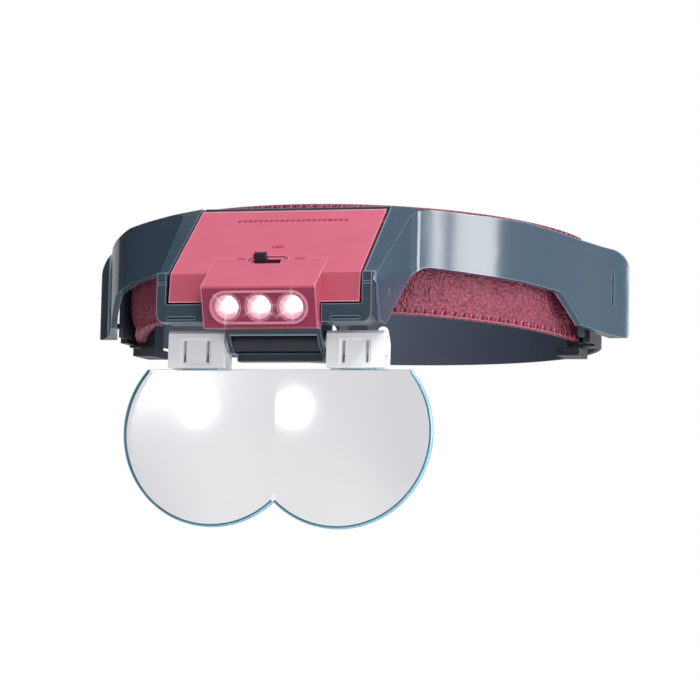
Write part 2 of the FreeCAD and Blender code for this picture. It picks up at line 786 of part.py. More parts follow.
def lens_clip(label, sign):
    """A white snap clip: a knuckle on the hinge bar, a flat front with two slots and a jaw for the lens."""
    body = new_body(label)
    middle = f"{sign}(clip_inner + clip_wide / 2)"
    section = [
        ("clip_front", "hinge_z + 1.8"),
        ("clip_front + 0.8", "hinge_z + 2.7"),
        ("hinge_y + 1.4", "hinge_z + 2.7"),
        ("clip_back", "hinge_z - 0.6"),
        ("clip_back", "clip_low"),
        ("clip_front", "clip_low"),
    ]
    pad(body, outline(body, "YZ_Plane", section, middle), "clip_wide")
    jaw = rectangle(
        body,
        "YZ_Plane",
        ("lens_back - lens_thick - run_gap", "clip_low - 1"),
        ("lens_back + run_gap", "tongue_top + 0.3"),
        middle,
    )
    pocket(body, jaw, "clip_wide + 1")
    panel = rectangle(
        body,
        "XZ_Plane",
        (f"{middle} - 5", "clip_low + 0.7"),
        (f"{middle} + 5", "hinge_z + 0.2"),
        "-clip_front",
    )
    pocket(body, panel, "0.9")
    for shift in ("-", "+"):
        slot = rectangle(
            body,
            "XZ_Plane",
            (f"{middle} {shift} 3.75 - 0.5", "clip_low + 1.6"),
            (f"{middle} {shift} 3.75 + 0.5", "clip_low + 8.4"),
            "-clip_front",
        )
        pocket(body, slot, "5")
    bore = circles(body, "YZ_Plane", [("hinge_y", "hinge_z")], "axle_radius + 0.02", middle)
    pocket(body, bore, "clip_wide + 1")
    body.Placement = hinge_seat()
    return body


def lens_plate():
    """The clear twin lens: two overlapping round lenses under a straight top edge, with two tongues."""
    thick = size("lens_thick")
    back = size("lens_back")
    front = back - thick
    bevel = 1.0
    radius = size("lens_radius")
    discs = []
    for x in (size("lens_centre_x"), -size("lens_centre_x")):
        rear = Vector(x, back, size("lens_centre_z"))
        flat = rod(radius, thick - bevel, rear, Vector(0, -1, 0))
        shoulder = rear - Vector(0, thick - bevel, 0)
        slant = Part.makeCone(radius, radius - bevel, bevel, shoulder, Vector(0, -1, 0))
        discs.append(flat.fuse(slant))
    above = Part.makeBox(BIG, 20, 40, Vector(-BIG / 2, back - 10, size("lens_top")))
    blank = discs[0].fuse(discs[1]).cut(above).removeSplitter()
    tongue_wide = size("tongue_wide")
    middle = size("clip_inner + clip_wide / 2")
    tall = size("tongue_top - lens_top") + 1
    tongue = Part.makeBox(
        tongue_wide, thick, tall, Vector(middle - tongue_wide / 2, front, size("lens_top") - 1)
    )
    plate = blank.multiFuse(both_sides(tongue)).removeSplitter()
    new_shape("lens_plate", plate, hinge_seat())


# ---------------------------------------------------------------- headband


def head_trim(margin):
    """The side outline that the bent strips are cut to: a little lower at the temples than in front."""
    front, rear = -100.0, 5.0
    corners = [
        (front, size("sleeve_low") + margin, 0),
        (rear, size("sleeve_low_end") + margin, 0),
        (rear, size("sleeve_top_end") - margin, 0),
        (front, size("sleeve_top") - margin, 0),
    ]
    return side_prism(corners, -BIG / 2, BIG / 2)


def bent_layer(inset, thick, reach, margin):
    """One layer of the headband, set in from the leather's outer face."""
    rx, ry = size("sleeve_rx") - inset, size("sleeve_ry") - inset
    return curved_strip(rx, ry, thick, reach, -30, 30).common(head_trim(margin))


def rivet_cutters(radius):
    """Rods along the front rivets."""
    start = Vector(RIVET_X, -90, RIVET_Z)
    return both_sides(rod(radius, 20, start, Vector(0, 1, 0)))


BAND_STEP_Y = -13.0  # behind this the band is lower, to lie in the buckles


def front_band():
    """The springy plastic band, the foam on its head side and the leather sleeve round both."""
    leather = size("leather_thick")
    total = size("sleeve_thick")
    band_thick = size("band_thick")
    reach = size("sleeve_reach")
    sleeve = bent_layer(0, total, reach, 0)
    hollow = bent_layer(leather, total - 2 * leather, reach + 5, leather)
    sleeve = sleeve.cut(hollow)
    for cutter in rivet_cutters(RIVET_RADIUS + 0.05):
        sleeve = sleeve.cut(cutter.common(Part.makeBox(BIG, 12, BIG, Vector(-BIG / 2, -92, -BIG / 2))))
    new_shape("leather_sleeve", sleeve)
    band = bent_layer(leather + 0.15, band_thick, size("band_reach"), leather + 0.3)
    for cutter in rivet_cutters(RIVET_RADIUS + 0.05):
        band = band.cut(cutter)
    for cutter in temple_rivet_rods(TEMPLE_RIVET_RADIUS + 0.05):
        band = band.cut(cutter)
    band = band.cut(Part.makeBox(BIG, 20, 20, Vector(-BIG / 2, BAND_STEP_Y, size("buckle_high"))))
    new_shape("inner_band", band)
    foam_inset = leather + band_thick + 0.35
    foam = bent_layer(foam_inset, total - leather - foam_inset - 0.1, reach - 1, leather + 0.3)
    for cutter in rivet_cutters(3.2):
        foam = foam.cut(cutter)
    new_shape("forehead_foam", foam)


def band_rivets():
    """Two rivets that fasten the headband to the housing's back wall."""
    start = size("tray_back - wall_thick") - 0.9
    rivets = []
    band_y = -(size("sleeve_ry") - size("leather_thick") - 0.15 - size("band_thick"))
    flat = math.sqrt(1 - (RIVET_X / (size("sleeve_rx") - 2)) ** 2)
    end = band_y * flat + 0.8
    shank = rod(RIVET_RADIUS, end - start, Vector(RIVET_X, start, RIVET_Z), Vector(0, 1, 0))
    head = rod(2.8, 0.85, Vector(RIVET_X, start, RIVET_Z), Vector(0, 1, 0))
    tail = rod(2.5, 0.7, Vector(RIVET_X, end, RIVET_Z), Vector(0, 1, 0))
    rivets = both_sides(shank.multiFuse([head, tail]).removeSplitter())
    new_shape("band_rivets", Part.makeCompound(rivets))


TEMPLE_RIVET_RADIUS = 1.2
TEMPLE_RIVET_Z = (-9.0, 9.0)


def temple_rivet_rods(radius):
    """Rods along the temple rivets, on both sides."""
    rods = []
    for z in TEMPLE_RIVET_Z:
        rods += both_sides(rod(radius, 5.0, Vector(74.6, size("buckle_y"), z), Vector(1, 0, 0)))
    return rods


def temple_rivets():
    """Four rivets that fasten the band's ends in the buckles."""
    rivets = []
    for z in TEMPLE_RIVET_Z:
        start = Vector(72.85, size("buckle_y"), z)
        shank = rod(TEMPLE_RIVET_RADIUS, 6.6, start, Vector(1, 0, 0))
        head = rod(2.2, 0.7, start, Vector(1, 0, 0))
        rivets += both_sides(shank.fuse(head).removeSplitter())
    new_shape("temple_rivets", Part.makeCompound(rivets))


ARM_RIVET_RADIUS = 1.0
ARM_RIVET_Y = -18.0
ARM_RIVET_Z = (-12.0, 7.4)


def arm_rivets():
    """Four rivets that join the buckles' guides to the inside of the side arms."""
    rivets = []
    for z in ARM_RIVET_Z:
        start = Vector(81.8, ARM_RIVET_Y, z)
        shank = rod(ARM_RIVET_RADIUS, 5.8, start, Vector(1, 0, 0))
        head = rod(1.8, 0.6, start, Vector(1, 0, 0))
        rivets += both_sides(shank.fuse(head).removeSplitter())
    new_shape("arm_rivets", Part.makeCompound(rivets))


def temple_buckle(label, sign):
    """The black buckle at a temple: a pocket for the band's end, a guide for the rear strap and a foot."""
    body = new_body(label)
    block_low = (f"{sign}73.6", "buckle_low + 2")
    block_high = (f"{sign}83", "buckle_high")
    pad(body, rectangle(body, "XZ_Plane", block_low, block_high, "-buckle_y"), "buckle_long")
    foot_low = (f"{sign}71.4", "buckle_low - 1.6")
    foot_high = (f"{sign}79", "buckle_low + 1.2")
    foot_long = "buckle_long + 7"
    pad(body, rectangle(body, "XZ_Plane", foot_low, foot_high, "-buckle_y + 3.5"), foot_long)
    join_low = (f"{sign}73.6", "buckle_low + 1")
    join_high = (f"{sign}79", "buckle_low + 3")
    pad(body, rectangle(body, "XZ_Plane", join_low, join_high, "-buckle_y"), "buckle_long")
    guide_low = (f"{sign}80.6", "strap_low - 1.5")
    guide_high = (f"{sign}83", "strap_high + 1.5")
    pad(body, rectangle(body, "XZ_Plane", guide_low, guide_high, "-buckle_y + 4.5"), "buckle_long + 9")
    strap_low = f"{sign}(strap_rx - strap_thick - 0.15)"
    strap_high = f"{sign}(strap_rx + 0.15)"
    slot = rectangle(
        body, "XZ_Plane", (strap_low, "strap_low - 0.15"), (strap_high, "strap_high + 0.15"), "-buckle_y"
    )
    pocket(body, slot, "60")
    band = rectangle(body, "XZ_Plane", (f"{sign}76.1", "-18.4"), (f"{sign}78.95", "16.9"), "-buckle_y")
    pocket(body, band, "buckle_long + 1")
    holes = circles(
        body, "YZ_Plane", [("buckle_y", str(z)) for z in TEMPLE_RIVET_Z], str(TEMPLE_RIVET_RADIUS + 0.05),
        f"{sign}76",
    )
    pocket(body, holes, "7")
    arm_holes = circles(
        body, "YZ_Plane", [(str(ARM_RIVET_Y), str(z)) for z in ARM_RIVET_Z], str(ARM_RIVET_RADIUS + 0.05),
        f"{sign}82.5",
    )
    pocket(body, arm_holes, "3")
    seats = circles(
        body, "YZ_Plane", [(str(ARM_RIVET_Y), str(z)) for z in ARM_RIVET_Z], "1.9", f"{sign}82.05",
    )
    pocket(body, seats, "0.9")
    return body


# ---------------------------------------------------------------- side arms

ARM_OUTSIDE = ((38.0, -86.0), (56.0, -70.0), (73.0, -50.0), (84.0, -30.0), (86.4, -24.0), (94.7, -12.0))
ARM_INSIDE = ((37.0, -82.6), (54.4, -68.4), (71.2, -48.8), (81.9, -29.6), (84.6, -21.5), (88.2, -12.0))


def through(points):
    """A smooth curve through points seen from above."""
    curve = Part.BSplineCurve()
    curve.interpolate([Vector(x, y, 0) for x, y in points])
    return curve.toShape()


def arm_plan():
    """The right-hand arm seen from above: a straight cheek beside the tray, then a sweep to the temple."""
    cheek = size("tray_inner")
    front = -121.0
    points = [
        Vector(*ARM_INSIDE[0], 0),
        Vector(cheek, size("tray_back") + 1.2, 0),
        Vector(cheek, front, 0),
        Vector(34.35, front, 0),
        Vector(*ARM_OUTSIDE[0], 0),
    ]
    sides = [Part.LineSegment(a, b).toShape() for a, b in zip(points, points[1:])]
    end = Part.LineSegment(Vector(*ARM_OUTSIDE[-1], 0), Vector(*ARM_INSIDE[-1], 0)).toShape()
    wire = Part.Wire(Part.__sortEdges__(sides + [through(ARM_OUTSIDE), end, through(ARM_INSIDE)]))
    solid = Part.Face(wire).extrude(Vector(0, 0, 60))
    solid.translate(Vector(0, 0, -30))
    corner = Vector(*ARM_OUTSIDE[0], 0)
    uprights = [edge for edge in solid.Edges if (edge.CenterOfMass - corner).Length < 1]
    return solid.makeFillet(6.0, uprights)


def arm_side():
    """The arm's outline seen from the side, from the cheek's tip to the block at the temple."""
    end = size("arm_end_y")
    block = size("block_low")
    corners = [
        (-89.5, size("arm_top"), 0.6),
        (-82.0, size("arm_top") - 1.0, 6.0),
        (-57.0, size("arm_top") - 1.8, 20.0),
        (-36.0, size("arm_top_end") + 1.5, 10.0),
        (end, size("arm_top_end"), 6.5),
        (end, size("block_low_end"), 0.8),
        (-33.8, block, 1.0),
        (-43.4, -4.1, 2.0),
        (-58.0, -2.0, 30.0),
        (-83.0, -0.1, 4.0),
        (-99.0, -12.4, 12.0),
        (-108.0, -20.6, 2.5),
        (-113.6, -19.8, 2.0),
        (-116.5, -9.0, 0.5),
        (-121.0, -7.8, 0),
        (-121.0, -2.0, 0),
    ]
    return side_prism(corners, 0, BIG / 2)


def bevel_block():
    """Everything in front of the bevel that runs from the tray's edge to the cheek's outer line."""
    inner_top = Vector(30.6, -89.3, 17.9)
    inner_low = Vector(31.0, -118.5, -5.2)
    outer_top = Vector(37.8, -83.6, 19.1)
    plane = Part.Plane(inner_top, inner_low, outer_top)
    face = plane.toShape(-BIG / 2, BIG / 2, -BIG / 2, BIG / 2)
    normal = (inner_low - inner_top).cross(outer_top - inner_top).normalize()
    return face.extrude(normal * 60)


def arms():
    """The pair of side arms, each one moulding from the cheek to the temple block."""
    arm = arm_plan().common(arm_side()).cut(bevel_block())
    wide = size("tray_half") + 0.1
    wall = Part.makeBox(wide, 60, 30, Vector(0, -125, size("wall_top") + 0.1 - 30))
    post_corner = Vector(0, size("tray_front"), size("post_top") + 0.1 - 30)
    post = Part.makeBox(wide, size("post_deep") + 0.1, 30, post_corner)
    arm = arm.cut(wall).cut(post)
    for y, z in SCREW_PLACES:
        arm = arm.cut(rod(SCREW_RADIUS + 0.05, 7.5, Vector(28, y, z), Vector(1, 0, 0)))
    pin = rod(size("pin_radius + run_gap"), 5, Vector(29, size("pin_y"), size("pin_z")), Vector(1, 0, 0))
    arm = arm.cut(pin)
    for z in ARM_RIVET_Z:
        arm = arm.cut(rod(ARM_RIVET_RADIUS + 0.05, 7.0, Vector(80.8, ARM_RIVET_Y, z), Vector(1, 0, 0)))
    tall = size("slit_tall")
    slit = Part.makeBox(5, 0.8, tall, Vector(-2.5, -0.4, -tall / 2))
    slit.Placement = Placement(Vector(90.6, -18.2, -0.5), Rotation(Vector(0, 0, 1), -35))
    arm = arm.cut(slit)
    right, left = both_sides(max(arm.Solids, key=lambda solid: solid.Volume))
    new_shape("right_arm", right)
    new_shape("left_arm", left)


# ---------------------------------------------------------------- rear strap


def strap_solid(sign, rx, ry, tip_angle):
    """A strap from one temple, straight beside the head and then bent round the back as far as an angle."""
    edges, fronts, tips = [], [], []
    for inset in (0, size("strap_thick")):
        front = Vector(sign * (rx - inset), size("strap_front_y"), 0)
        edges.append(Part.LineSegment(front, Vector(front.x, 0, 0)).toShape())
        start, end = sorted((sign * 90.0, tip_angle))
        edges.append(ellipse_arc(rx - inset, ry - inset, start, end, False))
        fronts.append(front)
        tips.append(rear_point(rx - inset, ry - inset, tip_angle))
    edges += [Part.LineSegment(*fronts).toShape(), Part.LineSegment(*tips).toShape()]
    tall = size("strap_high - strap_low")
    strap = Part.Face(Part.Wire(Part.__sortEdges__(edges))).extrude(Vector(0, 0, tall))
    strap.translate(Vector(0, 0, size("strap_low")))
    return strap.cut(end_corners(tips[0], sign))


def rear_point(rx, ry, angle):
    """A point of the rear ellipse, at an angle from straight back."""
    turn = math.radians(angle)
    return Vector(rx * math.sin(turn), ry * math.cos(turn), 0)


def end_corners(tip, sign):
    """Two wedges that slant the corners of a strap's end."""
    run, rise = 16.0, 6.0
    wedges = []
    for z, way in ((size("strap_low"), 1), (size("strap_high"), -1)):
        corners = [
            Vector(tip.x - sign * 1.0, tip.y - 20, z - way),
            Vector(tip.x + sign * run, tip.y - 20, z - way),
            Vector(tip.x - sign * 1.0, tip.y - 20, z + way * rise),
        ]
        wedges.append(Part.Face(Part.makePolygon(corners + corners[:1])).extrude(Vector(0, 45, 0)))
    return wedges[0].fuse(wedges[1])


PEG_RADIUS = 2.0
PEG_Z = -3.8
PEG_ANGLES = (-20.0, -34.0)
STRAP_SHIFT = 1.0


def peg_rod(angle, radius, start, length):
    """A rod square to the overlapping straps, from a start depth measured outwards."""
    rx, ry = size("strap_rx"), size("strap_ry")
    point = rear_point(rx, ry, angle)
    outward = Vector(point.x / rx**2, point.y / ry**2, 0).normalize()
    point.z = PEG_Z
    return rod(radius, length, point + outward * start, outward)


def rear_straps():
    """Two flat straps that overlap behind the left of the head, and the two snap pegs that join them."""
    rx, ry = size("strap_rx"), size("strap_ry")
    step = size("strap_thick") + 0.4
    outer = strap_solid(-1, rx, ry, -8)
    inner = strap_solid(1, rx - STRAP_SHIFT, ry - step, -50)
    inner.translate(Vector(STRAP_SHIFT, 0, 0))
    for angle in range(-41, -9, 7):
        hole = peg_rod(angle, PEG_RADIUS + 0.1, -8, 12)
        outer = outer.cut(hole)
        inner = inner.cut(hole)
    new_shape("rear_strap_left", outer)
    new_shape("rear_strap_right", inner)
    pegs = []
    for angle in PEG_ANGLES:
        start = -step - size("strap_thick") - 1.6
        shank = peg_rod(angle, PEG_RADIUS, start, 0.4 - start)
        head = peg_rod(angle, 3.4, start, 1.0)
        pegs.append(shank.fuse(head).removeSplitter())
    new_shape("strap_pegs", Part.makeCompound(pegs))


# ---------------------------------------------------------------- assembly


def build():
    """Makes every piece."""
    battery_cover()
    cover_hinge_pins()
    led_bezel()
    led_reflectors()
    leds()
    led_board()
    led_wires()
    switch_body()
    switch_knob()
    front_housing()
    arm_screws()
    cells()
    battery_cradle()
    battery_contacts()
    contact_springs()
    hinge_bracket()
    hinge_barrel()
    hinge_axle()
    friction_washers()
    lens_clip("right_clip", "")
    lens_clip("left_clip", "-")
    lens_plate()
    front_band()
    band_rivets()
    temple_rivets()
    arm_rivets()
    temple_buckle("right_buckle", "")
    temple_buckle("left_buckle", "-")
    arms()
    rear_straps()


def check():
    """Stops if any object failed or any piece is empty or broken."""
    DOC.recompute()
    for item in DOC.Objects:
        if "Invalid" in item.State or "Error" in item.State:
            raise RuntimeError(f"{item.Name} failed: {item.State}")
    for label, node in PARTS.items():
        if node.Shape.isNull() or not node.Shape.isValid() or not node.Shape.Solids:
            raise RuntimeError(f"{label} has no valid solid")


build()
check()
os.makedirs("parts", exist_ok=True)
for label, node in PARTS.items():
    node.Label = label
    node.Shape.exportStep(f"parts/{label}.step")
    box = node.Shape.BoundBox
    print(f"{label:18s} solids {len(node.Shape.Solids)}  volume {node.Shape.Volume:9.1f}  box "
          f"{box.XMin:.1f} {box.XMax:.1f}  {box.YMin:.1f} {box.YMax:.1f}  {box.ZMin:.1f} {box.ZMax:.1f}")
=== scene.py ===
import json
import math
import random

import bmesh
import bpy
from mathutils import Matrix, Vector


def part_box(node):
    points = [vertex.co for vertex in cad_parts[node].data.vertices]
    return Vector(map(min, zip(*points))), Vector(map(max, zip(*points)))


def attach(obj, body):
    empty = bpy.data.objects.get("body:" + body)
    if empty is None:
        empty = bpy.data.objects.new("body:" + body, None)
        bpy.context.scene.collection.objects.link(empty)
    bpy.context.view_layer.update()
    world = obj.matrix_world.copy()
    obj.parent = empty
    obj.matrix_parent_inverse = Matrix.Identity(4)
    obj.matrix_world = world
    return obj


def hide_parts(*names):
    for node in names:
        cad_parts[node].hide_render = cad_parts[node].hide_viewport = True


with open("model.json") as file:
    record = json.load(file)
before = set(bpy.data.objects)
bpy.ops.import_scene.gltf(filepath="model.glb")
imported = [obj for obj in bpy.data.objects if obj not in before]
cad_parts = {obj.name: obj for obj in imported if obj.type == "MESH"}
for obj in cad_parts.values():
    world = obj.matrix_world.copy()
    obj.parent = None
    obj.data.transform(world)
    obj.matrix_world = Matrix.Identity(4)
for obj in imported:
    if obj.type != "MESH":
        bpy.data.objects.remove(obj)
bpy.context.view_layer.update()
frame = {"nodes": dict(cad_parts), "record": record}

# Looks for the head visor magnifier. Metres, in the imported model's own frame: +Z up, the lamps face -Y.

MM = 0.001
NODES = frame["nodes"]
SIDEWAYS = Vector((1, 0, 0))
WHITE = (1, 1, 1, 1)
random.seed(11)


# ---------------------------------------------------------------- material building

EDGE_REACH = 0.5 * MM  # how far a painted edge highlight spreads onto the faces beside it
EDGE_SAMPLES = 8
# Colours of the painted highlights on the outward edges of the navy and the red plastic.
NAVY_EDGE_HIGHLIGHT = (0.26, 0.37, 0.46)
RED_EDGE_HIGHLIGHT = (0.95, 0.5, 0.58)
GRAIN_DEPTH = 0.04 * MM  # of moulded plastic
PEBBLE_DEPTH = 0.6 * MM  # of leather


class Look:
    """One procedural material: short calls for adding nodes and joining them."""

    def __init__(self, name, colour, rough):
        self.material = bpy.data.materials.new(name)
        self.material.use_nodes = True
        self.tree = self.material.node_tree
        self.shader = self.tree.nodes["Principled BSDF"]
        self.place = self.add("ShaderNodeTexCoord").outputs["Object"]
        self.set("Base Color", (*colour, 1))
        self.set("Roughness", rough)
        self.colour = colour

    def add(self, kind, **inputs):
        node = self.tree.nodes.new(kind)
        for name, value in inputs.items():
            node.inputs[name.replace("_", " ")].default_value = value
        return node

    def join(self, output, target):
        self.tree.links.new(output, target)

    def set(self, name, value):
        self.shader.inputs[name].default_value = value

    def noise(self, scale, detail=2.0):
        node = self.add("ShaderNodeTexNoise", Scale=scale, Detail=detail)
        self.join(self.place, node.inputs["Vector"])
        return node.outputs["Fac"]

    def cells(self, scale):
        """Distance from the middle of rounded cells."""
        node = self.add("ShaderNodeTexVoronoi", Scale=scale)
        node.feature = "SMOOTH_F1"
        self.join(self.place, node.inputs["Vector"])
        return node.outputs["Distance"]

    def remap(self, value, low, high, to_low, to_high):
        node = self.tree.nodes.new("ShaderNodeMapRange")
        for slot, number in zip(node.inputs[1:5], (low, high, to_low, to_high)):
            slot.default_value = number
        self.join(value, node.inputs[0])
        return node.outputs[0]

    def product(self, first, second):
        node = self.tree.nodes.new("ShaderNodeMath")
        node.operation = "MULTIPLY"
        self.join(first, node.inputs[0])
        self.join(second, node.inputs[1])
        return node.outputs[0]

    def blend(self, factor, first, second):
        """Mixes two colours, each a triple of numbers or another node's output."""
        node = self.tree.nodes.new("ShaderNodeMix")
        node.data_type = "RGBA"
        for slot, colour in zip(node.inputs[6:8], (first, second)):
            if isinstance(colour, tuple):
                slot.default_value = (*colour, 1)
            else:
                self.join(colour, slot)
        self.join(factor, node.inputs[0])
        return node.outputs[2]

    def show_mixed(self, factor, first, second):
        """Sends a mix of two shaders to the surface."""
        mix = self.tree.nodes.new("ShaderNodeMixShader")
        for slot, output in zip(mix.inputs, (factor, first, second)):
            self.join(output, slot)
        surface = self.tree.nodes["Material Output"].inputs["Surface"]
        self.join(mix.outputs[0], surface)

    def vary_colour(self, scale, dark, light):
        tone = self.remap(self.noise(scale, 3.0), 0.3, 0.7, 0.0, 1.0)
        shades = [tuple(channel * k for channel in self.colour) for k in (dark, light)]
        self.join(self.blend(tone, *shades), self.shader.inputs["Base Color"])

    def vary_rough(self, scale, low, high):
        self.join(self.remap(self.noise(scale, 4.0), 0.3, 0.7, low, high), self.shader.inputs["Roughness"])

    def bump(self, height, strength, distance):
        node = self.add("ShaderNodeBump", Strength=strength, Distance=distance)
        self.join(height, node.inputs["Height"])
        self.join(node.outputs["Normal"], self.shader.inputs["Normal"])

    def paint_edge_highlights(self, colour, strength):
        """Painted highlight: outward edges are coloured paler than the faces beside them, standing in for
        the light they catch.
        """
        inside = self.add("ShaderNodeAmbientOcclusion", Distance=EDGE_REACH)
        inside.inside = True
        inside.only_local = True
        inside.samples = EDGE_SAMPLES
        base = self.shader.inputs["Base Color"]
        edge_highlight_share = self.remap(inside.outputs["AO"], 0.9, 0.45, 0.0, strength)
        self.join(self.blend(edge_highlight_share, base.links[0].from_socket, colour), base)


def moulded(name, colour, rough, spread=0.06, grain=0.15, coat=0.0, edge=None):
    """Moulded plastic: faint cloudy colour, uneven gloss and a very fine surface grain."""
    look = Look(name, colour, rough)
    look.vary_colour(45, 1 - spread, 1 + spread)
    look.vary_rough(140, rough * 0.97, rough * 1.04)
    look.bump(look.noise(2600), grain, GRAIN_DEPTH)
    look.set("Coat Weight", coat)
    look.set("Coat Roughness", 0.12)
    # With a highlight colour given, outward edges get a painted highlight.
    if edge:
        look.paint_edge_highlights(edge, 0.75)
    return look.material


def metal(name, colour, rough):
    """Drawn or plated metal with fine uneven polish."""
    look = Look(name, colour, rough)
    look.set("Metallic", 1.0)
    look.vary_rough(600, rough * 0.7, rough * 1.4)
    look.bump(look.noise(3000), 0.1, GRAIN_DEPTH / 2)
    return look.material


def leather(name, colour):
    """Pebbled leather: rounded grains with dark valleys, a cloudy colour and a waxy sheen."""
    look = Look(name, colour, 0.42)
    pebbles = look.cells(1200)
    height = look.tree.nodes.new("ShaderNodeMath")
    height.operation = "ADD"
    look.join(look.remap(pebbles, 0.0, 0.75, 1.0, 0.0), height.inputs[0])
    look.join(look.remap(look.noise(1500, 3.0), 0.3, 0.7, 0.0, 0.25), height.inputs[1])
    look.bump(height.outputs[0], 1.0, PEBBLE_DEPTH)
    valley = look.remap(pebbles, 0.3, 0.75, 1.0, 0.35)
    cloud = look.remap(look.noise(70, 3.0), 0.3, 0.7, 0.78, 1.18)
    dark = tuple(channel * 0.2 for channel in colour)
    look.join(look.blend(look.product(valley, cloud), dark, colour), look.shader.inputs["Base Color"])
    look.vary_rough(900, 0.2, 0.36)
    return look.material


def clear(name, colour, rough):
    """Clear plastic: clear to light, with a faint body tint and tiny polish marks."""
    look = Look(name, colour, rough)
    look.set("Transmission Weight", 1.0)
    look.set("IOR", 1.49)
    look.vary_rough(300, rough, rough + 0.02)
    look.bump(look.noise(400), 0.02, GRAIN_DEPTH / 2)
    return look.material


def glowing(name, colour, power):
    """A lit lamp body: bright, a little uneven from its moulded dome."""
    look = Look(name, colour, 0.2)
    look.set("Emission Color", (*colour, 1))
    look.join(look.remap(look.noise(700, 1.0), 0.2, 0.8, power * 0.8, power * 1.2),
              look.shader.inputs["Emission Strength"])
    return look.material


def cover_red():
    """Satin red with painted shade: paler on the slope, deeper on upright faces and crimson where they
    turn down.
    """
    # Painted shade: the slope's colour darkens on faces that turn upright and further on faces that turn
    # down, away from the light above.
    top, front, crimson_shade = (0.63, 0.135, 0.21), (0.44, 0.07, 0.115), (0.25, 0.017, 0.06)
    look = Look("red_plastic", top, 0.4)
    geometry = look.tree.nodes.new("ShaderNodeNewGeometry")
    split = look.tree.nodes.new("ShaderNodeSeparateXYZ")
    look.join(geometry.outputs["Normal"], split.inputs[0])
    front_face_shade = look.remap(split.outputs["Z"], 0.55, 0.2, 0.0, 1.0)
    down_face_shade = look.remap(split.outputs["Z"], -0.12, -0.26, 0.0, 1.0)
    tone = look.blend(down_face_shade, look.blend(front_face_shade, top, front), crimson_shade)
    cloudy = look.tree.nodes.new("ShaderNodeVectorMath")
    cloudy.operation = "SCALE"
    look.join(tone, cloudy.inputs[0])
    look.join(look.remap(look.noise(60), 0.3, 0.7, 0.97, 1.03), cloudy.inputs["Scale"])
    look.join(cloudy.outputs[0], look.shader.inputs["Base Color"])
    look.vary_rough(140, 0.38, 0.43)
    look.bump(look.noise(2600), 0.08, GRAIN_DEPTH)
    look.paint_edge_highlights(RED_EDGE_HIGHLIGHT, 0.7)
    return look.material


LOOKS = {
    "frame_plastic": moulded("frame_plastic", (0.056, 0.09, 0.13), 0.115, spread=0.02, grain=0.01,
                             edge=NAVY_EDGE_HIGHLIGHT),
    "red_plastic": cover_red(),
    "strap_plastic": moulded("strap_plastic", (0.044, 0.058, 0.088), 0.5, spread=0.06, grain=0.2),
    "black_plastic": moulded("black_plastic", (0.011, 0.016, 0.026), 0.36, spread=0.04, grain=0.15),
    "white_plastic": moulded("white_plastic", (0.94, 0.95, 0.98), 0.35, spread=0.01, grain=0.06),
    "screw_steel": metal("screw_steel", (0.6, 0.6, 0.62), 0.3),
    "contact_metal": metal("contact_metal", (0.75, 0.72, 0.62), 0.25),
    "reflector_chrome": metal("reflector_chrome", (0.5, 0.2, 0.27), 0.3),
    "board_green": moulded("board_green", (0.03, 0.2, 0.08), 0.35),
    "wire_sleeve": moulded("wire_sleeve", (0.5, 0.03, 0.03), 0.45),
    "cell_wrap": moulded("cell_wrap", (0.08, 0.09, 0.12), 0.25, coat=0.5),
    "pad_foam": moulded("pad_foam", (0.12, 0.12, 0.13), 0.9, spread=0.2, grain=1.0),
    "lamp_resin": glowing("lamp_resin", (1.0, 0.97, 0.97), 1.15),
    "lens_acrylic": clear("lens_acrylic", (0.93, 0.96, 0.97), 0.03),
    "red_leather": leather("red_leather", (0.36, 0.066, 0.117)),
}


def dress_frame():
    """Gives every CAD node its slot's material, apart from the bezel ring, which gets a painted highlight,
    and the tray, which gets a darker copy of the frame plastic as painted shade.
    """
    for part in frame["record"]["subparts"]:
        node = NODES[part["node"]]
        node.data.materials.clear()
        node.data.materials.append(LOOKS[part["material_slot"]])
    # Painted highlight: the bezel ring gets a paler red for the light it catches along its raised edge.
    bezel_highlight = Look("bezel_painted_highlight", (0.62, 0.2, 0.29), 0.3)
    bezel_highlight.vary_colour(200, 0.95, 1.05)
    NODES["led_bezel"].data.materials[0] = bezel_highlight.material
    # Painted shade: the tray and bracket get a darker copy of the navy plastic, the same plastic lying in
    # shade.
    shaded_tray = moulded("tray_plastic_shaded", (0.026, 0.042, 0.06), 0.2, spread=0.02, grain=0.02, edge=NAVY_EDGE_HIGHLIGHT)
    for name in ("front_housing", "hinge_bracket"):
        NODES[name].data.materials[0] = shaded_tray


ROUNDING = {
    "right_arm": 0.5, "left_arm": 0.5, "front_housing": 0.3, "battery_cover": 0.35, "right_clip": 0.3,
    "left_clip": 0.3, "hinge_bracket": 0.3, "right_buckle": 0.4, "left_buckle": 0.4, "switch_knob": 0.15,
    "rear_strap_left": 0.25, "rear_strap_right": 0.25,
}  # millimetres


def round_edges():
    """A small rounding on the sharp edges of the hard parts."""
    for name, width in ROUNDING.items():
        bevel = NODES[name].modifiers.new("rounding", "BEVEL")
        bevel.width = width * MM
        bevel.segments = 2
        bevel.limit_method = "ANGLE"
        bevel.angle_limit = math.radians(38)
        bevel.use_clamp_overlap = True
        bevel.harden_normals = True


# ---------------------------------------------------------------- own pieces

ROD_SIDES = 6


def mesh_piece(name, verts, faces, slot, body, replaced=(), material=None):
    """A piece from vertices and faces that takes a slot's looks and rides a body."""
    data = bpy.data.meshes.new(name)
    data.from_pydata([tuple(v) for v in verts], [], faces)
    data.validate()
    data.materials.append(material or LOOKS[slot])
    for face in data.polygons:
        face.use_smooth = True
    item = placed(name, data)
    finish_piece(item, body, replaced)
    return item


def placed(name, data):
    """An object in the scene that shows a mesh, a light or a camera."""
    item = bpy.data.objects.new(name, data)
    bpy.context.scene.collection.objects.link(item)
    return item


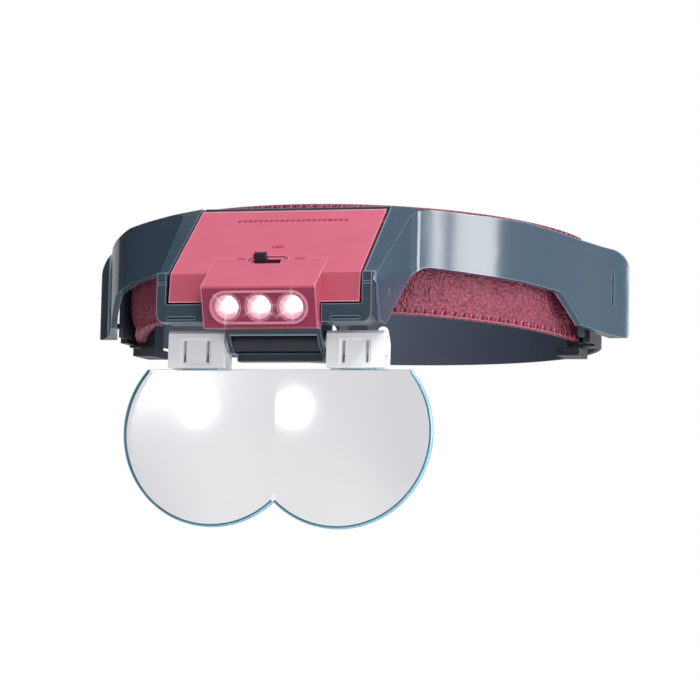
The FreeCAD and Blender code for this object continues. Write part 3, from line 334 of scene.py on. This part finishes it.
def finish_piece(item, body, replaced=()):
    """Ties a piece to the body it rides and hides any CAD nodes it stands for."""
    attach(item, body)
    if replaced:
        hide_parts(*replaced)


def apply_modifiers(item):
    """Replaces a piece's mesh with the mesh its modifiers make."""
    graph = bpy.context.evaluated_depsgraph_get()
    mesh = bpy.data.meshes.new_from_object(item.evaluated_get(graph))
    item.modifiers.clear()
    item.data = mesh


def around(middle, radius, side, other):
    """The corners of a round section about a point, in the plane of two directions."""
    turns = [2 * math.pi * k / ROD_SIDES for k in range(ROD_SIDES)]
    return [middle + radius * (math.cos(turn) * side + math.sin(turn) * other) for turn in turns]


def skin(first, rings):
    """The faces of a closed rod of round sections, from its first vertex on."""
    last = first + (rings - 1) * ROD_SIDES
    faces = []
    for start in range(first, last, ROD_SIDES):
        for k in range(ROD_SIDES):
            a, b = start + k, start + (k + 1) % ROD_SIDES
            faces.append((a, b, b + ROD_SIDES, a + ROD_SIDES))
    faces.append(tuple(range(first, first + ROD_SIDES))[::-1])
    faces.append(tuple(range(last, last + ROD_SIDES)))
    return faces


def disc_faces(spokes, rings):
    """The faces of a disc: vertex 0 in the middle, then rings of vertices from the inside out."""
    faces = []
    for k in range(spokes):
        n = (k + 1) % spokes
        faces.append((0, 1 + k, 1 + n))
        for start in range(1, 1 + (rings - 1) * spokes, spokes):
            a, b = start + k, start + n
            faces.append((a, a + spokes, b + spokes, b))
    return faces


def tube(name, points, radius, slot, body, material):
    """A round thread along points, with closed ends."""
    verts = []
    count = len(points)
    for i, point in enumerate(points):
        ahead = points[min(i + 1, count - 1)] - points[max(i - 1, 0)]
        ahead.normalize()
        side = ahead.orthogonal() if i == 0 else (side - ahead * side.dot(ahead))
        side.normalize()
        verts += around(point, radius, side, ahead.cross(side))
    mesh_piece(name, verts, skin(0, count), slot, body, material=material)


# ---------------------------------------------------------------- leather sleeve

SLEEVE_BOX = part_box("leather_sleeve")
SLEEVE_REACH = math.radians(80)
SLEEVE_RX = SLEEVE_BOX[1][0] / math.sin(SLEEVE_REACH)
SLEEVE_RY = -SLEEVE_BOX[0][1]
SLEEVE_END_Y = -13.4 * MM
SLEEVE_THICK = 7.0 * MM
SLEEVE_SWELL = 0.9 * MM  # how far the padding stands out of the seams' line
SLEEVE_STEPS = 110
SEAM_TALL = 3.2 * MM
SEAM_THICK = 2.3 * MM
SEAM_DEPTH = 0.45 * MM
UPPER_EDGE = (20.8 * MM, 17.9 * MM)  # heights at the forehead and at the temples
LOWER_EDGE = (-14.1 * MM, -18.4 * MM)


def edge_height(turn, edge):
    """Height of one edge of the sleeve, which slopes evenly from the forehead to the temples."""
    front, temple = edge
    y = -SLEEVE_RY * math.cos(turn)
    part = (y + SLEEVE_RY) / (SLEEVE_RY + SLEEVE_END_Y)
    return front + (temple - front) * part


def sleeve_point(turn, depth, z):
    """A point of the sleeve: an angle round from the forehead, a depth inwards and a height."""
    return Vector(((SLEEVE_RX - depth) * math.sin(turn), -(SLEEVE_RY - depth) * math.cos(turn), z))


def sleeve_section(top, low):
    """The cross-section as (depth, height), round from the lower seam, up outside and down inside."""
    outside, inside = [], []
    rows = 14
    for i in range(rows + 1):
        part = i / rows
        z = low + SEAM_TALL + (top - low - 2 * SEAM_TALL) * part
        swell = math.sin(math.pi * part) ** 0.45
        outside.append((SEAM_DEPTH - SLEEVE_SWELL * swell, z))
        inside.append((SEAM_DEPTH + SEAM_THICK + (SLEEVE_THICK - SEAM_THICK) * swell, z))
    foot = [(SEAM_DEPTH + SEAM_THICK, low), (SEAM_DEPTH, low)]
    brow = [(SEAM_DEPTH, top), (SEAM_DEPTH + SEAM_THICK, top)]
    return foot + outside + brow + inside[::-1]


def sleeve_mesh():
    """The sleeve before it swells: vertices, faces and the vertices that sewing holds still."""
    verts, faces, held = [], [], []
    for i in range(SLEEVE_STEPS + 1):
        turn = -SLEEVE_REACH + 2 * SLEEVE_REACH * i / SLEEVE_STEPS
        top, low = edge_height(turn, UPPER_EDGE), edge_height(turn, LOWER_EDGE)
        section = sleeve_section(top, low)
        ring = len(section)
        for depth, z in section:
            at_seam = z > top - SEAM_TALL * 1.01 or z < low + SEAM_TALL * 1.01
            if at_seam or i in (0, SLEEVE_STEPS):
                held.append(len(verts))
            verts.append(sleeve_point(turn, depth, z))
    last = SLEEVE_STEPS * ring
    for start in range(0, last, ring):
        for k in range(ring):
            a, b = start + k, start + (k + 1) % ring
            faces.append((a, b, b + ring, a + ring))
    for start in (0, last):
        hub = len(verts)
        verts.append(sum((verts[start + k] for k in range(ring)), Vector()) / ring)
        held.append(hub)
        for k in range(ring):
            edge = (start + k, start + (k + 1) % ring, hub)
            faces.append(edge if start else edge[::-1])
    return verts, faces, held


def leather_sleeve():
    """The padded sleeve: a closed cushion with sewn seams, puffed up by a short cloth simulation."""
    verts, faces, held = sleeve_mesh()
    sleeve = mesh_piece("sleeve", verts, faces, "red_leather", "headband",
                        ("leather_sleeve", "forehead_foam"))
    fix_normals(sleeve)
    puff_up(sleeve, held)
    smooth = sleeve.modifiers.new("smooth", "SUBSURF")
    smooth.levels = smooth.render_levels = 1
    apply_modifiers(sleeve)


def fix_normals(item):
    """Turns every face of a closed piece outwards."""
    mesh = bmesh.new()
    mesh.from_mesh(item.data)
    bmesh.ops.recalc_face_normals(mesh, faces=mesh.faces)
    mesh.to_mesh(item.data)
    mesh.free()


SIM_FRAMES = 20
PUFF_CAP = 1.6 * MM


def puff_up(item, held):
    """A short cloth simulation under inside pressure, with the seams held and movement capped."""
    start = [v.co.copy() for v in item.data.vertices]
    seam = item.vertex_groups.new(name="seam")
    seam.add(held, 1.0, "ADD")
    cloth = item.modifiers.new("cloth", "CLOTH")
    cloth.settings.quality = 6
    cloth.settings.mass = 0.3
    cloth.settings.tension_stiffness = 30
    cloth.settings.compression_stiffness = 30
    cloth.settings.bending_stiffness = 4
    cloth.settings.use_pressure = True
    cloth.settings.uniform_pressure_force = 4
    cloth.settings.vertex_group_mass = "seam"
    cloth.settings.shrink_min = -0.03
    cloth.settings.effector_weights.gravity = 0
    cloth.point_cache.frame_start = 1
    cloth.point_cache.frame_end = SIM_FRAMES
    for number in range(1, SIM_FRAMES + 1):
        bpy.context.scene.frame_set(number)
    apply_modifiers(item)
    bpy.context.scene.frame_set(1)
    for vertex, place in zip(item.data.vertices, start):
        moved = vertex.co - place
        if moved.length > PUFF_CAP:
            vertex.co = place + moved * (PUFF_CAP / moved.length)


STITCH_TALL = 1.8 * MM
STITCH_DEPTH = SEAM_DEPTH - 0.12 * MM
STITCH_STEP = 3.4 * MM / ((SLEEVE_RX + SLEEVE_RY) / 2)  # an angle, for a pitch of 3.4 mm
STITCH_LEAN = 0.12 * STITCH_STEP
STITCH_COUNT = int(SLEEVE_REACH * 0.985 / STITCH_STEP)  # on each side of the forehead
STITCH_ROWS = {"lower": (LOWER_EDGE, 0.75 * MM), "upper": (UPPER_EDGE, -2.4 * MM)}
HOLE_DEPTH = STITCH_DEPTH + 0.18 * MM
HOLE_MARGIN = 0.3 * MM
HOLE_SHIFT = 0.36 * STITCH_STEP
THREAD_HEIGHT = 0.7 * MM


def stitches():
    """Short upright stitches along both seams, and the thread that runs under the lower row."""
    thread = Look("sewing_thread", (0.5, 0.12, 0.19), 0.6)
    thread.vary_colour(900, 0.8, 1.2)
    thread.bump(thread.noise(4000), 0.5, 0.1 * MM)
    # Dark streaks beside each stitch stand for the needle holes; their near-black colour is painted shade
    # in the holes.
    hole_shade = moulded("needle_hole", (0.05, 0.006, 0.015), 0.8)
    for name, (edge, inset) in STITCH_ROWS.items():
        threads, holes = [], []
        for i in range(-STITCH_COUNT, STITCH_COUNT + 1):
            turn = i * STITCH_STEP
            low = edge_height(turn, edge) + inset
            high = low + STITCH_TALL
            threads.append((sleeve_point(turn, STITCH_DEPTH, low),
                            sleeve_point(turn + STITCH_LEAN, STITCH_DEPTH, high)))
            beside = turn + HOLE_SHIFT
            holes.append((sleeve_point(beside, HOLE_DEPTH, low + HOLE_MARGIN),
                          sleeve_point(beside + STITCH_LEAN, HOLE_DEPTH, high - HOLE_MARGIN)))
        rods(name + "_stitches", threads, 0.3 * MM, thread.material)
        rods(name + "_needle_holes", holes, 0.34 * MM, hole_shade)
    turns = [i * STITCH_STEP / 2 for i in range(-STITCH_COUNT * 2, STITCH_COUNT * 2 + 1)]
    points = [sleeve_point(turn, STITCH_DEPTH, edge_height(turn, LOWER_EDGE) + THREAD_HEIGHT)
              for turn in turns]
    tube("seam_thread", points, 0.22 * MM, "red_leather", "headband", thread.material)


def rods(name, pairs, radius, material):
    """Short rods with rounded tips between pairs of points, all in one piece."""
    verts, faces = [], []
    for start, end in pairs:
        ahead = (end - start).normalized()
        side = ahead.orthogonal().normalized()
        tip = ahead * radius * 0.6
        first = len(verts)
        for place, share in ((start, 0.5), (start + tip, 1.0), (end - tip, 1.0), (end, 0.5)):
            verts += around(place, radius * share, side, ahead.cross(side))
        faces += skin(first, 4)
    mesh_piece(name, verts, faces, "red_leather", "headband", material=material)


# ---------------------------------------------------------------- lens

LENS_RADIUS = 29.6 * MM
LENS_CENTRE_X = 20.3 * MM
LENS_CENTRE_Z = -53.5 * MM
LENS_TOP = -34.0 * MM
LENS_THICK = 3.0 * MM
LENS_TILT = math.radians(2)
LENS_FRONT = -104.6 * MM
LENS_HINGE = Vector((0, -103 * MM, -25 * MM))
DOME_PROUD = 0.6 * MM  # how far a lobe's middle stands out of the plate's front
DOME_RISE = 1.5 * MM
DOME_RINGS = 12
RIM_INSET = {"arc": 0.95 * MM, "top": 0.3 * MM, "seam": 0.0}
PLATE, BEVEL, RIM = 0, 1, 2  # the lens piece's material slots
MOST_MIRRORED = 0.16  # keeps the plate clear when it is seen at a shallow angle


def lens_looks():
    """Clear tinted plate, pale bevel and teal rim, in the order of the lens piece's slots."""
    plate = Look("lens_acrylic_plate", (0.8, 0.8, 0.84), 0.24)
    cloud = plate.remap(plate.noise(14, 1.5), 0.32, 0.68, 0.0, 1.0)
    tint = plate.blend(cloud, (0.83, 0.828, 0.85), (0.925, 0.925, 0.93))
    see = plate.add("ShaderNodeBsdfTransparent")
    plate.join(tint, see.inputs["Color"])
    gloss = plate.add("ShaderNodeBsdfGlossy", Color=WHITE, Roughness=0.11)
    fresnel = plate.add("ShaderNodeFresnel", IOR=1.5)
    mirrored = plate.remap(fresnel.outputs[0], 0.0, MOST_MIRRORED, 0.0, MOST_MIRRORED)
    plate.show_mixed(mirrored, see.outputs[0], gloss.outputs[0])
    bevel = Look("lens_bevel", (0.3, 0.52, 0.62), 0.25)
    bevel.vary_colour(60, 0.8, 1.15)
    rim = Look("lens_rim", (0.02, 0.13, 0.19), 0.25)
    rim.vary_colour(60, 0.75, 1.3)
    return plate.material, bevel.material, rim.material


def lens_outline():
    """Directions round one lobe with the distance to its edge: (angle, distance, kind of edge)."""
    rise = LENS_TOP - LENS_CENTRE_Z
    seam_half = math.sqrt(LENS_RADIUS**2 - LENS_CENTRE_X**2)
    arc_start = math.atan2(-seam_half, -LENS_CENTRE_X)
    arc_end = math.asin(rise / LENS_RADIUS)
    seam_top = math.atan2(rise, -LENS_CENTRE_X)
    rows = []
    arc_steps, top_steps, seam_steps = 84, 24, 20
    for i in range(arc_steps):
        rows.append((arc_start + (arc_end - arc_start) * i / arc_steps, "arc"))
    for i in range(top_steps):
        rows.append((arc_end + (seam_top - arc_end) * i / top_steps, "top"))
    for i in range(seam_steps):
        rows.append((seam_top + (arc_start + 2 * math.pi - seam_top) * i / seam_steps, "seam"))
    reach = {
        "arc": lambda angle: LENS_RADIUS,
        "top": lambda angle: rise / math.sin(angle),
        "seam": lambda angle: -LENS_CENTRE_X / math.cos(angle),
    }
    return [(angle, reach[kind](angle), kind) for angle, kind in rows]


def lens_surface(sign, across, up, depth):
    """A vertex of the plate in place: across and up from a lobe's centre, and a depth from the front."""
    flat = Vector((sign * (LENS_CENTRE_X + across), LENS_FRONT + depth, LENS_CENTRE_Z + up))
    turn = Matrix.Rotation(-LENS_TILT, 3, "X")
    return LENS_HINGE + turn @ (flat - LENS_HINGE)


def dome(r):
    """Depth of a lobe's front face at a distance from its centre."""
    return DOME_RISE * (r / LENS_RADIUS) ** 2 - DOME_PROUD


def lobe_verts(sign, outline):
    """One lobe's vertices: the front's middle, rings out to the rim and over it, and the back's middle."""
    rings = [(k / DOME_RINGS, 1.0, dome) for k in range(1, DOME_RINGS + 1)]
    rings += [
        (1.0, 0.45, lambda r: dome(r) + 0.15 * MM),
        (1.0, 0.0, lambda r: dome(r) + 0.5 * MM),
        (1.0, 0.0, lambda r: LENS_THICK - 0.5 * MM),
        (1.0, 0.5, lambda r: LENS_THICK),
    ]
    verts = [lens_surface(sign, 0, 0, dome(0))]
    for share, inset, depth_of in rings:
        for angle, limit, kind in outline:
            r = (limit - RIM_INSET[kind] * inset) * share
            verts.append(lens_surface(sign, r * math.cos(angle), r * math.sin(angle), depth_of(r)))
    verts.append(lens_surface(sign, 0, 0, LENS_THICK))
    return verts


def lobe_faces(start, outline):
    """One lobe's faces with their material slots, from its first vertex on; the seam is left open."""
    faces = []
    count = len(outline)
    total = DOME_RINGS + 4
    last = start + 1 + (total - 1) * count
    hub = last + count
    for j, (_, _, edge) in enumerate(outline):
        n = (j + 1) % count
        faces.append(((start, start + 1 + j, start + 1 + n), PLATE))
        for k in range(total - 1):
            outer = k - DOME_RINGS + 1
            if edge == "seam" and outer >= 0:
                continue
            a, b = start + 1 + k * count + j, start + 1 + k * count + n
            slot = PLATE if outer < 0 or edge == "top" else (RIM, BEVEL, BEVEL, RIM)[outer]
            faces.append(((a, a + count, b + count, b), slot))
        faces.append(((hub, last + n, last + j), PLATE))
    return faces


def twin_lens():
    """Two shallow domes joined at a seam, with a bevelled rim round the outside and two clip tongues."""
    plate, bevel, rim = lens_looks()
    outline = lens_outline()
    verts, faces = [], []
    for sign in (1, -1):
        faces += lobe_faces(len(verts), outline)
        verts += lobe_verts(sign, outline)
    corners = [face for face, _ in faces]
    lens = mesh_piece("twin_lens", verts, corners, "lens_acrylic", "lens", ("lens_plate",), plate)
    for material in (bevel, rim):
        lens.data.materials.append(material)
    for face, (_, slot) in zip(lens.data.polygons, faces):
        face.material_index = slot
    fix_normals(lens)
    mark_sharp(lens, 14)
    lens_tongue("tongue_plus_x", 1, bevel)
    lens_tongue("tongue_minus_x", -1, bevel)


def lens_tongue(name, sign, material):
    """One of the two tabs on the plate's top edge, which the clips hold."""
    ranges = ((-0.15 * MM, 10.85 * MM), (19.5 * MM, 23.6 * MM), (0, LENS_THICK))
    corners = [lens_surface(sign, across, up, depth)
               for across in ranges[0] for up in ranges[1] for depth in ranges[2]]
    sides = [(0, 1, 3, 2), (4, 6, 7, 5), (0, 4, 5, 1), (2, 3, 7, 6), (0, 2, 6, 4), (1, 5, 7, 3)]
    mesh_piece(name, corners, sides, "lens_acrylic", "lens", material=material)


def mark_sharp(item, degrees):
    """Keeps a shading edge where two faces meet at more than an angle."""
    mesh = bmesh.new()
    mesh.from_mesh(item.data)
    for edge in mesh.edges:
        if len(edge.link_faces) == 2 and edge.calc_face_angle(0) > math.radians(degrees):
            edge.smooth = False
    mesh.to_mesh(item.data)
    mesh.free()


# ---------------------------------------------------------------- cover marks

SLOPE_TOP = Vector((0, -90.0 * MM, 17.5 * MM))
SLOPE_FOOT = Vector((0, -119.2 * MM, -5.6 * MM))
MARK_STAND = 0.1 * MM
DASH_COUNT = 21
DASH_PITCH = 1.75 * MM
DASH_SLANT = 0.25 * MM


def slope_matrix(x, along, proud=0):
    """A place on the slope for flat marks: x to the wearer's left, y up the slope, z out of it."""
    down = (SLOPE_FOOT - SLOPE_TOP).normalized()
    out = down.cross(SIDEWAYS).normalized()
    turn = Matrix((SIDEWAYS, -down, out)).transposed()
    return Matrix.Translation(SLOPE_TOP + down * along + SIDEWAYS * x + out * proud) @ turn.to_4x4()


def word(name, text, tall, x, along, colour):
    """A small plain word moulded into the cover."""
    curve = bpy.data.curves.new(name, "FONT")
    curve.body = text
    curve.size = tall
    curve.extrude = 0.06 * MM
    curve.align_x = "CENTER"
    curve.align_y = "CENTER"
    source = placed(name + "_source", curve)
    graph = bpy.context.evaluated_depsgraph_get()
    mesh = bpy.data.meshes.new_from_object(source.evaluated_get(graph))
    bpy.data.objects.remove(source)
    mesh.transform(slope_matrix(x, along, MARK_STAND))
    mesh.materials.clear()
    mesh.materials.append(colour)
    finish_piece(placed(name, mesh), "cover")


def dashes(colour):
    """A row of short raised dashes near the top of the cover, a plain ornament."""
    verts, faces = [], []
    for i in range(DASH_COUNT):
        place = slope_matrix((i - (DASH_COUNT - 1) / 2) * DASH_PITCH + 1.2 * MM, 6.4 * MM)
        wide, tall = random.uniform(0.45, 0.62) * MM, 0.55 * MM
        corners = ((-wide, -tall), (wide, -tall), (wide + DASH_SLANT, tall), (-wide + DASH_SLANT, tall))
        b = len(verts)
        for x, y in corners:
            for z in (-0.05 * MM, MARK_STAND):
                verts.append(place @ Vector((x, y, z)))
        faces += [(b + 1, b + 3, b + 5, b + 7), (b, b + 6, b + 4, b + 2)]
        for k in range(0, 8, 2):
            n = (k + 2) % 8
            faces.append((b + k, b + n, b + n + 1, b + k + 1))
    mesh_piece("cover_dashes", verts, faces, "red_plastic", "cover", material=colour)


def cover_marks():
    """The plain words round the switch and the row of dashes above them."""
    mark = Look("moulded_marks", (0.34, 0.035, 0.07), 0.5)
    mark.vary_colour(300, 0.85, 1.15)
    dashes(mark.material)
    word("mark_on", "ON", 1.9 * MM, -9.6 * MM, 29.6 * MM, mark.material)
    word("mark_off", "OFF", 1.9 * MM, 9.4 * MM, 29.6 * MM, mark.material)
    word("mark_led", "LED", 2.1 * MM, 0.4 * MM, 22.4 * MM, mark.material)


# ---------------------------------------------------------------- lamp glow

LAMP_PITCH = 10.2 * MM
GLOW_RADIUS = 7.5 * MM
GLOW_STAND = 0.5 * MM
GLOW_GAP = 0.05 * MM  # between one glow and the next, where they overlap
GLOW_SPOKES = 90
GLOW_RINGS = 14


def lamp_glow():
    """A round glow with faint rays over each lit lamp, clear at its edge."""
    look = Look("lamp_halo", (1, 1, 1), 0.5)
    strength = look.tree.nodes.new("ShaderNodeAttribute")
    strength.attribute_name = "glow"
    shimmer = look.remap(look.noise(900), 0.3, 0.7, 0.92, 1.0)
    see = look.tree.nodes.new("ShaderNodeBsdfTransparent")
    light = look.add("ShaderNodeEmission", Color=(1, 0.97, 0.98, 1), Strength=1.3)
    look.show_mixed(look.product(strength.outputs["Fac"], shimmer), see.outputs[0], light.outputs[0])
    low, high = (Vector(corner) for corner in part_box("led_bezel"))
    up = Vector((0, low.y - high.y, high.z - low.z)).normalized()
    out = SIDEWAYS.cross(up)
    for number, x in enumerate((-LAMP_PITCH, 0, LAMP_PITCH)):
        middle = Vector((x, (low.y + high.y) / 2, (low.z + high.z) / 2))
        middle += out * (GLOW_STAND + GLOW_GAP * number)
        glow_disc(f"lamp_glow_{number + 1}", middle, up, look.material, number)


def glow_strength(share, turn, number):
    """Brightness of a glow at a share of its radius: a round core, and rays of uneven length."""
    core = math.exp(-((share / 0.29) ** 2.6))
    ray = max(0.0, math.cos((turn + number) * 5.5)) ** 14
    long = 0.75 + 0.25 * math.sin(3 * turn + 2 * number)
    beam = ray * 0.75 * max(0.0, 1 - share / long)
    return min(1.0, core + beam) * (1 - share**3)


def glow_disc(name, middle, up, material, number):
    """One lamp's glow: a flat disc that holds its brightness at each vertex and casts no shadow."""
    verts, values = [middle], [1.0]
    for k in range(1, GLOW_RINGS + 1):
        share = k / GLOW_RINGS
        for i in range(GLOW_SPOKES):
            turn = 2 * math.pi * i / GLOW_SPOKES
            verts.append(middle + GLOW_RADIUS * share * (math.cos(turn) * SIDEWAYS + math.sin(turn) * up))
            values.append(glow_strength(share, turn, number))
    faces = disc_faces(GLOW_SPOKES, GLOW_RINGS)
    disc = mesh_piece(name, verts, faces, "lamp_resin", "cover", material=material)
    glow = disc.data.attributes.new("glow", "FLOAT", "POINT")
    glow.data.foreach_set("value", values)
    disc.visible_shadow = False


# ---------------------------------------------------------------- stage, light and camera

FLOOR_RADIUS = 2.6
FLOOR_Z = -0.32
FLOOR_SIDES = 96
BEND_RADIUS = 0.6
BEND_STEPS = 14
WALL_TOP = 3.2


def stage():
    """A pale floor that curves up into a pale backdrop all round."""
    profile = []
    for i in range(BEND_STEPS + 1):
        turn = math.pi / 2 * i / BEND_STEPS
        r = FLOOR_RADIUS - BEND_RADIUS + BEND_RADIUS * math.sin(turn)
        profile.append((r, FLOOR_Z + BEND_RADIUS - BEND_RADIUS * math.cos(turn)))
    profile.append((FLOOR_RADIUS, WALL_TOP))
    verts = [(0, 0, FLOOR_Z)]
    for r, z in profile:
        for k in range(FLOOR_SIDES):
            turn = 2 * math.pi * k / FLOOR_SIDES
            verts.append((r * math.cos(turn), r * math.sin(turn), z))
    data = bpy.data.meshes.new("studio_floor")
    data.from_pydata(verts, [], disc_faces(FLOOR_SIDES, len(profile)))
    for face in data.polygons:
        face.use_smooth = True
    data.materials.append(studio_paper())
    placed("studio_floor", data)


def studio_paper():
    """Pale paper that lights the object like paper but is plain white to the camera."""
    look = Look("studio_paper", (0.8, 0.8, 0.81), 0.9)
    look.vary_rough(3, 0.85, 0.95)
    look.set("Emission Color", WHITE)
    look.set("Emission Strength", 0.1)
    rays = look.tree.nodes.new("ShaderNodeLightPath")
    plain = look.add("ShaderNodeEmission", Color=WHITE, Strength=1.0)
    look.show_mixed(rays.outputs["Is Camera Ray"], look.shader.outputs[0], plain.outputs[0])
    return look.material


def dark_flag():
    """A black board beside the picture that keeps the arm on its side dark; cameras don't see it."""
    corners = [(-0.42, y, z) for y, z in ((-0.3, -0.3), (0.3, -0.3), (0.3, 0.5), (-0.3, 0.5))]
    data = bpy.data.meshes.new("dark_flag")
    data.from_pydata(corners, [], [(0, 1, 2, 3)])
    data.materials.append(moulded("black_board", (0.01, 0.01, 0.01), 0.9))
    flag = placed("dark_flag", data)
    flag.visible_camera = False


def area_light(name, place, target, size, power, tall=None):
    """A soft round light, or an upright strip when it has a height, aimed at a point."""
    light = bpy.data.lights.new(name, "AREA")
    light.shape = "RECTANGLE" if tall else "DISK"
    light.size = size
    if tall:
        light.size_y = tall
    light.energy = power
    item = placed(name, light)
    item.location = place
    item.rotation_euler = (Vector(target) - Vector(place)).to_track_quat("-Z", "Y").to_euler()
    return item


def lighting():
    """A dim even room, soft round lights, two upright strips mirrored in an arm, and the lens' glare."""
    world = bpy.data.worlds.new("studio")
    bpy.context.scene.world = world
    world.use_nodes = True
    background = world.node_tree.nodes["Background"]
    background.inputs["Color"].default_value = WHITE
    background.inputs["Strength"].default_value = 0.18
    middle = (0, -0.08, -0.02)
    area_light("key", (0.45, -0.8, 0.75), middle, 0.45, 7.2)
    area_light("left_fill", (-1.0, -0.85, 0.15), middle, 0.5, 1.2)
    area_light("top", (0.2, -0.4, 1.2), middle, 0.7, 3.2)
    area_light("low_right", (0.75, -0.8, -0.15), middle, 0.4, 1.3)
    arm = (0.05, -0.075, 0.008)
    area_light("narrow_strip", (1.066, -0.5, 0.145), arm, 0.03, 1.1, tall=0.5)
    area_light("wide_strip", (1.1185, -0.33, 0.145), arm, 0.22, 4.4, tall=0.5)
    glare = area_light("lens_glare", (-0.45, -1.2, 0.163), (0, -0.105, -0.05), 0.115, 1.0)
    lit = bpy.data.collections.new("lit_by_lens_glare")
    lit.objects.link(bpy.data.objects["twin_lens"])
    glare.light_linking.receiver_collection = lit
    bpy.context.scene.view_settings.view_transform = "Standard"


def camera():
    """The camera, a little below the visor and towards its +X side, with a long lens."""
    azimuth, elevation, roll = (math.radians(a) for a in (16.97, -7.99, 1.4))
    pan, tilt = math.radians(1.27), math.radians(3.17)
    distance, focal_length = 0.798, 129.5
    _, top_y, top_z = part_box("battery_cover")[1]
    subject = Vector((0, top_y, top_z))
    level = Vector((math.sin(azimuth), -math.cos(azimuth), 0)) * math.cos(elevation)
    back = level + Vector((0, 0, math.sin(elevation)))
    turn = back.to_track_quat("Z", "Y").to_matrix() @ Matrix.Rotation(roll, 3, "Z")
    turn = turn @ Matrix.Rotation(-pan, 3, "Y") @ Matrix.Rotation(-tilt, 3, "X")
    data = bpy.data.cameras.new("camera")
    data.lens = focal_length
    data.clip_end = 20
    item = placed("camera", data)
    item.matrix_world = Matrix.Translation(subject + back * distance) @ turn.to_4x4()
    bpy.context.scene.camera = item


dress_frame()
leather_sleeve()
lamp_glow()
stitches()
twin_lens()
cover_marks()
round_edges()
stage()
dark_flag()
lighting()
camera()
